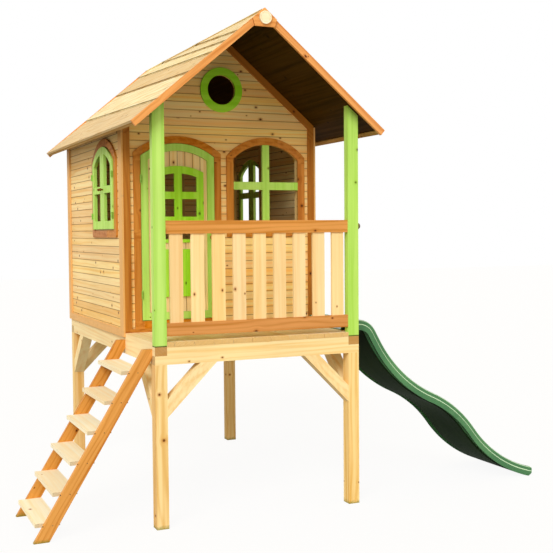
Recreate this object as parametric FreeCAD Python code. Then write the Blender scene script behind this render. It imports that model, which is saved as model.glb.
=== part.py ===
import FreeCAD, Part
import math
import os

os.makedirs("parts", exist_ok=True)
V = FreeCAD.Vector

# Platform: legs, half-lapped beams, joists and boards that run front to back.
deck_width = 1280.0
deck_depth = 2080.0
leg_size = 70.0
leg_height = 920.0
beam_height = 100.0
joist_width = 45.0
joist_height = 95.0
joist_count = 3
brace_reach = 295.0
floor_board_thickness = 25.0
floor_board_count = 11
floor_board_gap = 3.0
floor_board_overhang = 3.0
notch_clearance = 1.0

# Porch posts and the slatted railing between them.
post_width = 70.0
post_depth = 45.0
rail_height = 73.0
rail_thickness = 30.0
rail_setback = 5.0
low_rail_lift = 32.0
top_rail_lift = 600.0
slat_count = 9
slat_width = 77.0
slat_thickness = 16.0
slat_tenon = 12.0
slat_margin = 26.0
bolt_radius = 5.0
bolt_length = 105.0
cap_radius = 21.0
cap_height = 22.0
low_head_radius = 8.0
low_head_height = 3.0

# House walls: horizontal boards with bevelled edges on a light stud frame.
porch_depth = 605.0
board_pitch = 49.5
board_thickness = 14.0
board_bevel = 2.5
first_board_height = 28.0
stud_depth = 28.0
stud_width = 45.0
trim_thickness = 12.0
corner_trim_front_width = 42.0
corner_trim_side_width = 72.0
base_trim_front_height = 22.0
base_trim_side_height = 48.0
gable_trim_width = 42.0

# Roof: a thin panel under tapered, rebated boards, edged with barge boards.
wall_height = 1205.0
roof_rise = 656.0
eave_overhang = 139.0
roof_front = 80.0
roof_back = 125.0
roof_panel_thickness = 8.0
roof_board_butt = 13.0
roof_board_thin = 5.0
roof_board_lap = 25.0
ridge_lap = 3.0
front_lap_shares = [0, 0.192, 0.431, 0.609, 0.712, 0.804, 1.06]
back_lap_shares = [0, 0.380, 0.683, 0.910, 1.056, 1.187, 1.38]
eave_batten_width = 30.0
eave_batten_height = 8.0
barge_thickness = 18.0
barge_height = 38.0
ridge_plate_half_width = 74.0
ridge_plate_foot_half_width = 61.0
ridge_plate_height = 105.0
ridge_plate_thickness = 10.0
ridge_disc_radius = 36.0
ridge_disc_thickness = 12.0
ridge_disc_drop = 56.0
disc_groove_radius = 29.0
disc_groove_width = 3.0
disc_groove_depth = 2.0

# Door: boards behind a border, a cross-barred window, a slot and a low panel.
door_side_gap = 21.5
door_half_width = 237.0
door_bottom_lift = 72.0
door_apex_drop = 51.0
door_radius = 393.0
door_gap = 3.0
door_sill_gap = 4.0
door_casing_width = 43.0
door_border_width = 45.0
door_board_thickness = 13.0
door_pane_half_width = 120.5
door_pane_radius = 334.0
door_pane_apex_drop = 183.0
door_pane_height = 266.0
door_frame_width = 45.5
door_cut_lap = 10.0
door_mullion_width = 49.0
door_bar_rise = 108.0
door_bar_height = 45.0
slot_drop = 140.0
slot_height = 35.0
slot_strip_height = 20.0
slot_strip_thickness = 8.0
panel_bottom_lift = 211.0
panel_top_gap = 41.0
panel_thickness = 10.0
door_knob_rise = 10.0
door_knob_inset = 23.0
knob_neck_radius = 8.0
knob_neck_length = 10.0
knob_radius = 17.0
door_hinge_low_lift = 229.0
door_hinge_high_drop = 220.0
door_hinge_height = 48.0
door_hinge_plate_depth = 18.0
door_knuckle_radius = 5.5
door_pin_radius = 3.0
hinge_plate_thickness = 1.1
knuckle_clearance = 0.35
pin_clearance = 0.05
swing_clearance = 0.6

# Front window: an open arch with a plain cross.
casing_spacing = 39.5
window_side_gap = 26.0
window_arch_rise = 95.5
window_apex_drop = 43.0
window_height = 539.0
window_casing_width = 46.0
window_mullion_width = 47.0
window_bar_rise = 252.0
window_bar_height = 50.0
window_bar_thickness = 18.0
window_bar_setback = 6.0

# Side windows: two arched leaves each, in a casing with a thick sill board.
side_window_offset = 425.0
leaf_pair_half_width = 250.0
leaf_radius = 355.0
leaf_apex_drop = 47.0
leaf_height = 526.0
leaf_sill_gap = 7.0
leaf_gap = 3.0
leaf_meeting_gap = 4.0
leaf_member_width = 45.0
leaf_bottom_height = 52.0
leaf_rail_rise = 229.0
leaf_thickness = 20.0
leaf_seat_gap = 0.5
leaf_stop_width = 8.0
side_casing_width = 48.0
side_sill_height = 45.0
sill_corner_radius = 20.0
leaf_knob_rise = 253.0
leaf_knob_radius = 9.0
leaf_knob_neck_radius = 4.5
leaf_knob_neck_length = 7.0
leaf_hinge_lifts = [85.0, 340.0]
leaf_hinge_height = 40.0
leaf_hinge_plate_depth = 11.0
leaf_knuckle_radius = 4.5
leaf_pin_radius = 2.5

# Round window in the gable.
round_window_drop = 365.0
round_ring_radius = 139.0
round_hole_radius = 92.0

# Ladder: leaning stringers with treads between them on cleats.
ladder_angle = 58.5
ladder_foot_reach = 669.0
ladder_stringer_run = 83.0
ladder_stringer_thickness = 28.0
ladder_near_setback = 50.0
ladder_clear_width = 522.0
ladder_top_drop = 15.0
tread_count = 6
first_tread_height = 100.0
tread_rise = 158.0
tread_thickness = 22.0
tread_nose = 41.0
tread_tail = 10.0
cleat_height = 30.0
cleat_thickness = 22.0
cleat_margin = 6.0

# Slide: a wavy moulded chute, its section drawn down from the rim.
slide_setback = 75.0
slide_width = 510.0
slide_deck_lap = 50.0
slide_lead = 49.0
slide_radii = [135.7, 852.7, 814.4, 824.5]
slide_turns = [61.0, -36.6, 28.7, -39.8]
slide_wall = 5.0
skirt_depth = 62.0
slide_lip = 5.0
slide_lip_height = 4.0
shoulder_height = 30.0
shoulder_step = 6.0
rim_width = 34.0
rim_round = 12.0
trough_lean = 14.0
trough_round = 12.0
nose_length = 40.0
nose_top_round = 20.0
nose_bottom_round = 36.0
hook_width = 400.0
hook_depth = 80.0
hook_screw_radius = 8.0
hook_screw_head = 4.0
hook_screw_length = 40.0
hook_screw_inset = 40.0

# A board that fills less of its box than this share has a notch in it.
notched_share = 0.97

# One overrun serves every cut.
overrun = 20.0

floor = leg_height + beam_height + floor_board_thickness
beam_top = leg_height + beam_height
beam_middle = leg_height + beam_height / 2
house_front = porch_depth
house_back = deck_depth
house_middle = (house_front + house_back) / 2
middle = deck_width / 2
eave_height = floor + wall_height
ridge_height = eave_height + roof_rise
roof_thickness = roof_panel_thickness + roof_board_butt
half_span = middle + eave_overhang
slope_angle = math.atan2(ridge_height - eave_height, half_span)
slope_cos = math.cos(slope_angle)
slope_sin = math.sin(slope_angle)
slope_length = math.hypot(ridge_height - eave_height, half_span)
roof_start = -roof_front + barge_thickness
roof_end = deck_depth + roof_back - barge_thickness
far_above = ridge_height + overrun

door_left_edge = (
    corner_trim_front_width + door_side_gap + door_casing_width + door_gap
)
door_middle = door_left_edge + door_half_width
door_apex_lift = wall_height - door_apex_drop
door_pane_apex_lift = door_apex_lift - door_pane_apex_drop
door_pane_bottom_lift = door_pane_apex_lift - door_pane_height
door_bar_lift = door_pane_bottom_lift + door_bar_rise
slot_bottom_lift = door_pane_bottom_lift - slot_drop
panel_top_lift = slot_bottom_lift - slot_strip_height - panel_top_gap
panel_height = panel_top_lift - panel_bottom_lift
door_knob_lift = slot_bottom_lift + door_knob_rise
door_hinge_lifts = [door_hinge_low_lift, door_apex_lift - door_hinge_high_drop]

door_casing_edge = door_middle + door_half_width + door_gap + door_casing_width
window_left_edge = door_casing_edge + casing_spacing + window_casing_width
window_right_edge = (
    deck_width - corner_trim_front_width - window_side_gap - window_casing_width
)
window_middle = (window_left_edge + window_right_edge) / 2
window_half_width = (window_right_edge - window_left_edge) / 2
window_radius = (window_half_width ** 2 + window_arch_rise ** 2) / window_arch_rise / 2
window_apex_lift = wall_height - window_apex_drop
window_bottom_lift = window_apex_lift - window_height
window_bar_lift = window_bottom_lift + window_bar_rise

leaf_apex_lift = wall_height - leaf_apex_drop
leaf_bottom_lift = leaf_apex_lift - leaf_height
leaf_rail_lift = leaf_bottom_lift + leaf_rail_rise
leaf_knob_lift = leaf_bottom_lift + leaf_knob_rise


def front_point(across, height, depth):
    return V(across, depth, height)


def side_point(across, height, depth):
    return V(depth, across, height)


def box(x0, x1, y0, y1, z0, z1):
    return Part.makeBox(x1 - x0, y1 - y0, z1 - z0, V(x0, y0, z0))


# A flat outline of straight edges, given thickness from near to far.
def outline_solid(points, place, near, far):
    corners = [place(across, height, near) for across, height in points]
    face = Part.Face(Part.makePolygon(corners + corners[:1]))
    return face.extrude(place(0, 0, far - near))


# A straight-sided shape with a segmental arch on top.
def arch_solid(place, center, half_width, bottom, radius, apex, near, far):
    arch_center = apex - radius
    spring = arch_center + math.sqrt(radius ** 2 - half_width ** 2)
    low_left = place(center - half_width, bottom, near)
    low_right = place(center + half_width, bottom, near)
    high_right = place(center + half_width, spring, near)
    high_left = place(center - half_width, spring, near)
    top = place(center, apex, near)
    edges = [
        Part.LineSegment(low_left, low_right).toShape(),
        Part.LineSegment(low_right, high_right).toShape(),
        Part.Arc(high_right, top, high_left).toShape(),
        Part.LineSegment(high_left, low_left).toShape(),
    ]
    return Part.Face(Part.Wire(edges)).extrude(place(0, 0, far - near))


def mirror_across(shape):
    return shape.mirror(V(middle, 0, 0), V(1, 0, 0))


def turn_about_house(shape):
    turned = shape.copy()
    turned.rotate(V(middle, house_middle, 0), V(0, 0, 1), 180)
    return turned


def flip_end(shape):
    return shape.mirror(V(0, house_middle, 0), V(0, 1, 0))


def group(shapes):
    solids = []
    for shape in shapes:
        solids.extend(shape.Solids)
    return Part.makeCompound(solids)


# A point of the left slope: along it from the eave, and up from its underside.
def slope_place(along, up):
    x = -eave_overhang + along * slope_cos - (up - roof_thickness) * slope_sin
    z = eave_height + along * slope_sin + (up - roof_thickness) * slope_cos
    return x, z


# The height of a line parallel to the slope, above a place across the left half.
def slope_height(x, up):
    rise = (x + eave_overhang) * math.tan(slope_angle)
    return eave_height + rise + (up - roof_thickness) / slope_cos


# The whole space below a line parallel to both slopes.
def below_slopes(up, near, far):
    left = -eave_overhang - overrun
    points = [
        (left, 0),
        (deck_width - left, 0),
        (deck_width - left, slope_height(left, up)),
        (middle, slope_height(middle, up)),
        (left, slope_height(left, up)),
    ]
    return outline_solid(points, front_point, near, far)


under_roof = below_slopes(0, -roof_front, deck_depth + roof_back)


# Legs under the four corners of the frame.
def legs():
    right = deck_width - leg_size
    back = deck_depth - leg_size
    places = {
        "leg_front_left": (0, 0),
        "leg_front_right": (right, 0),
        "leg_back_left": (0, back),
        "leg_back_right": (right, back),
    }
    made = {}
    for name, (x, y) in places.items():
        made[name] = box(x, x + leg_size, y, y + leg_size, 0, leg_height)
    return made


# Beams halved into each other: the side beams keep the upper half at the corners.
def beams():
    inner_right = deck_width - leg_size
    inner_back = deck_depth - leg_size
    low = box(0, deck_width, 0, leg_size, leg_height, beam_middle)
    high = box(leg_size, inner_right, 0, leg_size, leg_height, beam_top)
    front = low.fuse(high).removeSplitter()
    side_high = box(0, leg_size, 0, deck_depth, beam_middle, beam_top)
    side_low = box(0, leg_size, leg_size, inner_back, leg_height, beam_top)
    left = side_high.fuse(side_low).removeSplitter()
    back = front.copy()
    back.translate(V(0, inner_back, 0))
    return {
        "beam_front": front,
        "beam_back": back,
        "beam_left": left,
        "beam_right": mirror_across(left),
    }


def joists():
    solids = []
    for index in range(joist_count):
        y = deck_depth * (index + 1) / (joist_count + 1)
        near = y - joist_width / 2
        far = y + joist_width / 2
        low = beam_top - joist_height
        solids.append(box(leg_size, deck_width - leg_size, near, far, low, beam_top))
    return group(solids)


# Two braces at each leg, cut to lie flat on the leg and on the beam.
def knee_braces():
    cut = leg_size * math.sqrt(2)
    points = [
        (leg_size, leg_height - brace_reach),
        (leg_size + brace_reach, leg_height),
        (leg_size + brace_reach - cut, leg_height),
        (leg_size, leg_height - brace_reach + cut),
    ]
    across = outline_solid(points, front_point, 0, leg_size)
    along = outline_solid(points, side_point, 0, leg_size)
    solids = []
    for brace in (across, along):
        back = brace.mirror(V(0, deck_depth / 2, 0), V(0, 1, 0))
        solids.extend([brace, back, mirror_across(brace), mirror_across(back)])
    return group(solids)


# Floor boards, the outer two notched round the posts.
def floor_boards():
    gaps = (floor_board_count - 1) * floor_board_gap
    width = (deck_width - gaps) / floor_board_count
    notch = box(
        -overrun,
        post_width + notch_clearance,
        -overrun,
        post_depth + notch_clearance,
        beam_top - overrun,
        floor + overrun,
    )
    solids = []
    for index in range(floor_board_count):
        x = index * (width + floor_board_gap)
        board = box(x, x + width, -floor_board_overhang, deck_depth, beam_top, floor)
        if index == 0:
            board = board.cut(notch)
        if index == floor_board_count - 1:
            board = board.cut(mirror_across(notch))
        solids.append(board)
    return group(solids)


# Porch posts stand on the frame and end on the slope of the roof.
def porch_posts():
    post = box(0, post_width, 0, post_depth, beam_top, ridge_height)
    post = post.common(under_roof)
    return group([post, mirror_across(post)])


def slat_places():
    room = deck_width - 2 * post_width - 2 * slat_margin - slat_width
    step = room / (slat_count - 1)
    return [post_width + slat_margin + index * step for index in range(slat_count)]


# Slats let into the rails by a short tenon at each end.
def railing_slats():
    near = rail_setback + (rail_thickness - slat_thickness) / 2
    low = floor + low_rail_lift + rail_height - slat_tenon
    high = floor + top_rail_lift + slat_tenon
    solids = []
    for x in slat_places():
        solids.append(box(x, x + slat_width, near, near + slat_thickness, low, high))
    return group(solids)


def railing_rail(lift, slats):
    low = floor + lift
    right = deck_width - post_width
    far = rail_setback + rail_thickness
    rail = box(post_width, right, rail_setback, far, low, low + rail_height)
    rail = rail.cut(slats)
    return rail


# The shank of the bolt through the left post into the end of the top rail.
def bolt_shank():
    place = V(0, rail_setback + rail_thickness / 2, floor + top_rail_lift + rail_height / 2)
    return Part.makeCylinder(bolt_radius, bolt_length, place, V(1, 0, 0))


# The whole bolt turned from one profile: its shank, and the domed head that lies on the post.
def rail_bolt(x, direction, head_radius, head_height):
    place = V(x, rail_setback + rail_thickness / 2, floor + top_rail_lift + rail_height / 2)
    dome_radius = (head_radius ** 2 + head_height ** 2) / (2 * head_height)
    dome_middle = dome_radius - head_height
    tip_radius = bolt_radius / 2
    tip = dome_middle - math.sqrt(dome_radius ** 2 - tip_radius ** 2)
    half = math.acos(dome_middle / dome_radius) / 2
    between = V(dome_radius * math.sin(half), 0, dome_middle - dome_radius * math.cos(half))
    corners = [
        V(tip_radius, 0, tip),
        V(0, 0, tip),
        V(0, 0, bolt_length),
        V(bolt_radius, 0, bolt_length),
        V(bolt_radius, 0, 0),
        V(head_radius, 0, 0),
    ]
    edges = [Part.LineSegment(a, b).toShape() for a, b in zip(corners, corners[1:])]
    edges.append(Part.Arc(corners[-1], between, corners[0]).toShape())
    turned = Part.Face(Part.Wire(edges)).revolve(V(0, 0, 0), V(0, 0, 1), 360)
    turned.Placement = FreeCAD.Placement(place, FreeCAD.Rotation(V(0, 0, 1), direction))
    return turned


# Corner-to-corner heights of the horizontal wall boards.
def board_levels(top):
    levels = [floor, floor + first_board_height]
    while levels[-1] < top:
        levels.append(levels[-1] + board_pitch)
    return levels


# The section of one wall board, bevelled along both edges of its face.
def board_section(face, inward, low, high):
    back = face + inward * board_thickness
    shy = face + inward * board_bevel
    return [
        (face, low + board_bevel),
        (face, high - board_bevel),
        (shy, high),
        (back, high),
        (back, low),
        (shy, low),
    ]


def cut_boards(section_place, face, inward, near, far, top, openings, limit):
    levels = board_levels(top)
    solids = []
    for low, high in zip(levels[:-1], levels[1:]):
        section = board_section(face, inward, low, high)
        board = outline_solid(section, section_place, near, far)
        for opening in openings:
            bounds = opening.BoundBox
            if bounds.ZMin < high and bounds.ZMax > low:
                board = board.cut(opening)
        if limit is not None:
            board = board.common(limit)
        solids.append(board)
    return group(solids)


# Sorts boards into plain ones and those that the edge of an opening runs into.
def part_notched(boards):
    plain = []
    notched = []
    for board in boards.Solids:
        bounds = board.BoundBox
        filled = board.Volume / (bounds.XLength * bounds.YLength * bounds.ZLength)
        if filled < notched_share:
            notched.append(board)
        else:
            plain.append(board)
    return group(plain), group(notched)


def door_outline(grow, bottom, near, far):
    return arch_solid(
        front_point,
        door_middle,
        door_half_width + grow,
        bottom,
        door_radius + grow,
        floor + door_apex_lift + grow,
        near,
        far,
    )


def window_outline(grow, near, far):
    return arch_solid(
        front_point,
        window_middle,
        window_half_width + grow,
        floor + window_bottom_lift - grow,
        window_radius + grow,
        floor + window_apex_lift + grow,
        near,
        far,
    )


def leaf_outline(grow, bottom, near, far):
    return arch_solid(
        side_point,
        house_front + side_window_offset,
        leaf_pair_half_width + grow,
        bottom,
        leaf_radius + grow,
        floor + leaf_apex_lift + grow,
        near,
        far,
    )


def round_disc(radius, near, far):
    center = V(middle, near, ridge_height - round_window_drop)
    return Part.makeCylinder(radius, far - near, center, V(0, 1, 0))


def cladding():
    near = house_front - overrun
    far = house_front + board_thickness + overrun
    sill_line = floor + door_bottom_lift - door_sill_gap
    door_hole = door_outline(door_gap, sill_line, near, far)
    window_hole = window_outline(0, near, far)
    round_hole = round_disc(round_hole_radius, near, far)
    inner_left = board_thickness
    inner_right = deck_width - board_thickness
    peak = slope_height(middle, 0)
    front = cut_boards(
        side_point,
        house_front,
        1,
        inner_left,
        inner_right,
        peak,
        [door_hole, window_hole, round_hole],
        under_roof,
    )
    back = cut_boards(
        side_point, house_back, -1, inner_left, inner_right, peak, [], under_roof
    )
    stop_bottom = floor + leaf_bottom_lift + leaf_stop_width
    side_hole = leaf_outline(
        -leaf_stop_width, stop_bottom, -overrun, board_thickness + overrun
    )
    wall_top = slope_height(0, 0)
    left = cut_boards(
        front_point, 0, 1, house_front, house_back, wall_top, [side_hole], under_roof
    )
    front_plain, front_notched = part_notched(front)
    return {
        "cladding_front": front_plain,
        "cladding_front_notched": front_notched,
        "cladding_back": back,
        "cladding_left": left,
        "cladding_right": turn_about_house(left),
    }


# Studs, plates, end ties and gable rafters that carry the boards and the roof.
def wall_frame():
    inner = board_thickness
    deep = board_thickness + stud_depth
    first = house_front + board_thickness
    last = house_back - board_thickness
    plate_top = slope_height(inner, 0)
    plate_low = plate_top - stud_width
    window_near = house_front + side_window_offset - leaf_pair_half_width
    window_far = window_near + 2 * leaf_pair_half_width
    side_studs = [first, window_near - stud_width, window_far, last - stud_width]
    solids = []
    solids.append(box(inner, deep, first, last, floor, floor + stud_depth))
    solids.append(box(inner, deep, first, last, plate_low, plate_top))
    for y in side_studs:
        solids.append(
            box(inner, deep, y, y + stud_width, floor + stud_depth, plate_low)
        )
    sides = solids + [turn_about_house(solid) for solid in solids]
    ends = []
    rafter_limit = below_slopes(0, first, last)
    rafter_void = below_slopes(-stud_width, first - overrun, last + overrun)
    rafter_space = rafter_limit.cut(rafter_void)
    door_left = door_middle - door_half_width + leaf_stop_width - stud_width
    door_right = door_middle + door_half_width - leaf_stop_width
    window_left = window_middle - window_half_width - stud_width
    window_right = window_middle + window_half_width
    back_step = (deck_width - 2 * deep) / 3
    back_studs = [deep + back_step, deep + 2 * back_step]
    for x in (door_left, door_right, window_left, window_right):
        ends.append(box(x, x + stud_width, first, first + stud_depth, floor, plate_low))
    for x in back_studs:
        ends.append(box(x, x + stud_width, last - stud_depth, last, floor, plate_low))
    for y in (first, last - stud_depth):
        ends.append(box(deep, deck_width - deep, y, y + stud_depth, plate_low, plate_top))
    for y in (first, last - stud_depth):
        strip = box(deep, middle, y, y + stud_depth, plate_top, far_above)
        rafter = strip.common(rafter_space)
        ends.append(rafter)
        ends.append(mirror_across(rafter))
    return group(sides + ends)


# Corner boards, gable boards and the boards at the foot of each wall.
def wall_trims():
    out = house_front - trim_thickness
    gable_low = below_slopes(-gable_trim_width, out - overrun, house_front + overrun)
    side_top = slope_height(-trim_thickness, 0)
    low_front = floor + base_trim_front_height
    low_side = beam_top + base_trim_side_height
    side_leg = box(
        -trim_thickness,
        0,
        out,
        out + corner_trim_side_width,
        low_side,
        side_top,
    )
    front_leg = box(0, corner_trim_front_width, out, house_front, floor, far_above)
    front_leg = front_leg.common(gable_low)
    gable = box(0, middle, out, house_front, floor, far_above)
    gable = gable.common(under_roof).cut(gable_low)
    corner_set = [side_leg, front_leg, gable]
    corner_set += [mirror_across(shape) for shape in corner_set]
    corner_set += [flip_end(shape) for shape in corner_set]
    side_foot = box(
        -trim_thickness,
        0,
        out,
        house_back + trim_thickness,
        beam_top,
        low_side,
    )
    corner_set += [side_foot, mirror_across(side_foot)]
    foot_left = corner_trim_front_width
    foot_right = deck_width - corner_trim_front_width
    front_foot = box(foot_left, foot_right, out, house_front, floor, low_front)
    corner_set += [front_foot, flip_end(front_foot)]
    return group(corner_set)


# The members of a frame: the part of it that lies in each box.
def members(frame, boxes):
    return group([frame.common(limit) for limit in boxes])


# Door casing: sill, two jambs and the arch, let in round the leaf.
def door_casing():
    out = house_front - trim_thickness
    sill_top = floor + door_bottom_lift - door_sill_gap
    sill_low = floor + base_trim_front_height
    grown = door_gap + door_casing_width
    outer = door_outline(grown, sill_low, out, house_front)
    inner = door_outline(door_gap, sill_top, out - overrun, house_front + overrun)
    ring = outer.cut(inner)
    left = door_middle - door_half_width - grown
    right = door_middle + door_half_width + grown
    spring_drop = door_radius - math.sqrt(door_radius ** 2 - door_half_width ** 2)
    spring = floor + door_apex_lift - spring_drop
    sill = box(left, right, out, house_front, sill_low, sill_top)
    jambs = box(left, right, out, house_front, sill_top, spring)
    arch = box(left, right, out, house_front, spring, far_above)
    return group([ring.common(sill), ring.common(jambs), ring.common(arch)])


def front_window_casing():
    out = house_front - trim_thickness
    outer = window_outline(window_casing_width, out, house_front)
    inner = window_outline(0, out - overrun, house_front + overrun)
    ring = outer.cut(inner)
    left = window_middle - window_half_width - window_casing_width
    right = window_middle + window_half_width + window_casing_width
    low = floor + window_bottom_lift
    bottom = low - window_casing_width
    drop = window_radius - math.sqrt(window_radius ** 2 - window_half_width ** 2)
    spring = floor + window_apex_lift - drop
    sill = box(left, right, out, house_front, bottom, low)
    jambs = box(left, right, out, house_front, low, spring)
    arch = box(left, right, out, house_front, spring, far_above)
    return group([ring.common(sill), ring.common(jambs), ring.common(arch)])


# The cross, halved together and fitted between the edges of the opening.
def front_window_bars():
    near = house_front - trim_thickness + window_bar_setback
    far = near + window_bar_thickness
    limit = window_outline(0, near, far)
    left = window_middle - window_half_width
    right = window_middle + window_half_width
    bar_low = floor + window_bar_lift
    bar_high = bar_low + window_bar_height
    post_left = window_middle - window_mullion_width / 2
    post_right = window_middle + window_mullion_width / 2
    half = (near + far) / 2
    mullion = box(post_left, post_right, near, far, floor, far_above).common(limit)
    bar = box(left, right, near, far, bar_low, bar_high)
    mullion = mullion.cut(box(left, right, half, far + overrun, bar_low, bar_high))
    bar = bar.cut(box(post_left, post_right, near - overrun, half, bar_low, bar_high))
    return group([mullion, bar])


def side_window_casing():
    sill_top = floor + leaf_bottom_lift - leaf_sill_gap
    sill_low = sill_top - side_sill_height
    grown = leaf_gap + side_casing_width
    outer = leaf_outline(grown, sill_low, -trim_thickness, 0)
    inner = leaf_outline(leaf_gap, sill_top, -trim_thickness - overrun, overrun)
    ring = outer.cut(inner)
    center = house_front + side_window_offset
    left = center - leaf_pair_half_width - grown
    right = center + leaf_pair_half_width + grown
    drop = leaf_radius - math.sqrt(leaf_radius ** 2 - leaf_pair_half_width ** 2)
    spring = floor + leaf_apex_lift - drop
    sill = box(-trim_thickness, 0, left, right, sill_low, sill_top)
    low_edges = []
    for edge in sill.Edges:
        level = edge.BoundBox
        runs_through = level.YLength < level.XLength
        if runs_through and level.ZMax < sill_low + sill_corner_radius:
            low_edges.append(edge)
    sill = sill.makeFillet(sill_corner_radius, low_edges)
    jambs = box(-trim_thickness, 0, left, right, sill_top, spring)
    arch = box(-trim_thickness, 0, left, right, spring, far_above)
    return group([sill, ring.common(jambs), ring.common(arch)])


def round_window_ring():
    out = house_front - trim_thickness
    outer = round_disc(round_ring_radius, out, house_front)
    inner = round_disc(round_hole_radius, out - overrun, house_front + overrun)
    return outer.cut(inner)


# A knob turned about a line that leaves the face it stands on, flat at its tip.
def knob(base, direction, neck_radius, neck_length, radius):
    waist = neck_length + radius - math.sqrt(radius ** 2 - neck_radius ** 2)
    widest = neck_length + radius
    tip_radius = neck_radius / 2
    tip = widest + math.sqrt(radius ** 2 - tip_radius ** 2)
    foot = Part.LineSegment(V(0, 0, 0), V(neck_radius, 0, 0)).toShape()
    neck = Part.LineSegment(V(neck_radius, 0, 0), V(neck_radius, 0, waist)).toShape()
    bulb = Part.Arc(
        V(neck_radius, 0, waist), V(radius, 0, widest), V(tip_radius, 0, tip)
    ).toShape()
    flat = Part.LineSegment(V(tip_radius, 0, tip), V(0, 0, tip)).toShape()
    line = Part.LineSegment(V(0, 0, tip), V(0, 0, 0)).toShape()
    face = Part.Face(Part.Wire([foot, neck, bulb, flat, line]))
    turned = face.revolve(V(0, 0, 0), V(0, 0, 1), 360)
    turned.Placement = FreeCAD.Placement(base, FreeCAD.Rotation(V(0, 0, 1), direction))
    return turned


# One butt hinge on an upright pin: returns the fixed pieces and the moving piece.
def hinge(pin, low, height, knuckle_radius, pin_radius, fixed_plate, moving_plate):
    third = height / 3
    up = V(0, 0, 1)
    base = V(pin.x, pin.y, low)
    mid_low = low + third
    mid_base = V(pin.x, pin.y, mid_low + knuckle_clearance)
    mid_height = third - 2 * knuckle_clearance
    whole = Part.makeCylinder(knuckle_radius, height, base, up)
    middle_part = Part.makeCylinder(knuckle_radius, mid_height, mid_base, up)
    clear = knuckle_radius + swing_clearance
    round_zone = Part.makeCylinder(clear, height, base, up)
    mid_zone = Part.makeCylinder(clear, third, V(pin.x, pin.y, mid_low), up)
    end_zone = round_zone.cut(mid_zone)
    pin_shape = Part.makeCylinder(pin_radius, height, base, up)
    bore = Part.makeCylinder(pin_radius + pin_clearance, height, base, up)
    fixed = whole.cut(mid_zone).fuse(fixed_plate.cut(mid_zone)).cut(pin_shape)
    moving = middle_part.fuse(moving_plate.cut(end_zone)).cut(bore)
    return [fixed.removeSplitter(), pin_shape], moving.removeSplitter()


def door_pin():
    x = door_middle - door_half_width - door_gap / 2
    y = house_front - trim_thickness - door_knuckle_radius
    return V(x, y, 0)


def door_hinges():
    pin = door_pin()
    casing_edge = pin.x - door_gap / 2
    leaf_edge = pin.x + door_gap / 2
    plate_end = house_front - trim_thickness + door_hinge_plate_depth
    fixed_solids = []
    moving_solids = []
    for lift in door_hinge_lifts:
        low = floor + lift - door_hinge_height / 2
        high = low + door_hinge_height
        fixed_face = casing_edge + hinge_plate_thickness
        moving_face = leaf_edge - hinge_plate_thickness
        fixed_plate = box(casing_edge, fixed_face, pin.y, plate_end, low, high)
        moving_plate = box(moving_face, leaf_edge, pin.y, plate_end, low, high)
        fixed, moving = hinge(
            pin,
            low,
            door_hinge_height,
            door_knuckle_radius,
            door_pin_radius,
            fixed_plate,
            moving_plate,
        )
        fixed_solids.extend(fixed)
        moving_solids.append(moving)
    return group(fixed_solids), group(moving_solids)


# Behind the window frame the leaf boards are cut off whole, at the joint next to the frame's edge.
def door_cut_half():
    cover = door_pane_half_width + door_frame_width - door_cut_lap
    whole_boards = math.floor(cover / board_pitch) * board_pitch
    return max(door_pane_half_width, whole_boards)


# Upright leaf boards, bevelled like the wall boards, cut to the door's outline.
def door_boards():
    far = house_front + door_board_thickness
    outline = door_outline(0, floor + door_bottom_lift, house_front, far)
    cut_half = door_cut_half()
    grow = cut_half - door_pane_half_width
    window_hole = door_pane(grow, house_front - overrun, far + overrun)
    slot_low = floor + slot_bottom_lift
    slot = box(
        door_middle - cut_half,
        door_middle + cut_half,
        house_front - overrun,
        far + overrun,
        slot_low,
        slot_low + slot_height,
    )
    count = math.ceil(door_half_width / board_pitch)
    solids = []
    for index in range(-count, count):
        left = door_middle + index * board_pitch
        right = left + board_pitch
        shy = house_front + board_bevel
        corners = [
            V(left + board_bevel, house_front, floor),
            V(right - board_bevel, house_front, floor),
            V(right, shy, floor),
            V(right, far, floor),
            V(left, far, floor),
            V(left, shy, floor),
        ]
        face = Part.Face(Part.makePolygon(corners + corners[:1]))
        board = face.extrude(V(0, 0, door_apex_lift + overrun)).common(outline)
        board = board.cut(window_hole).cut(slot)
        solids.append(board)
    return group(solids)


def door_pane(grow, near, far):
    return arch_solid(
        front_point,
        door_middle,
        door_pane_half_width + grow,
        floor + door_pane_bottom_lift - grow,
        door_pane_radius + grow,
        floor + door_pane_apex_lift + grow,
        near,
        far,
    )


def door_border():
    out = house_front - trim_thickness
    bottom = floor + door_bottom_lift
    outer = door_outline(0, bottom, out, house_front)
    inner = door_outline(
        -door_border_width,
        bottom + door_border_width,
        out - overrun,
        house_front + overrun,
    )
    left = door_middle - door_half_width
    right = door_middle + door_half_width
    inner_left = left + door_border_width
    inner_right = right - door_border_width
    rail_top = bottom + door_border_width
    boxes = [
        box(left, inner_left, out, house_front, bottom, far_above),
        box(inner_right, right, out, house_front, bottom, far_above),
        box(inner_left, inner_right, out, house_front, bottom, rail_top),
        box(inner_left, inner_right, out, house_front, rail_top, far_above),
    ]
    return members(outer.cut(inner), boxes)


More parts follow.
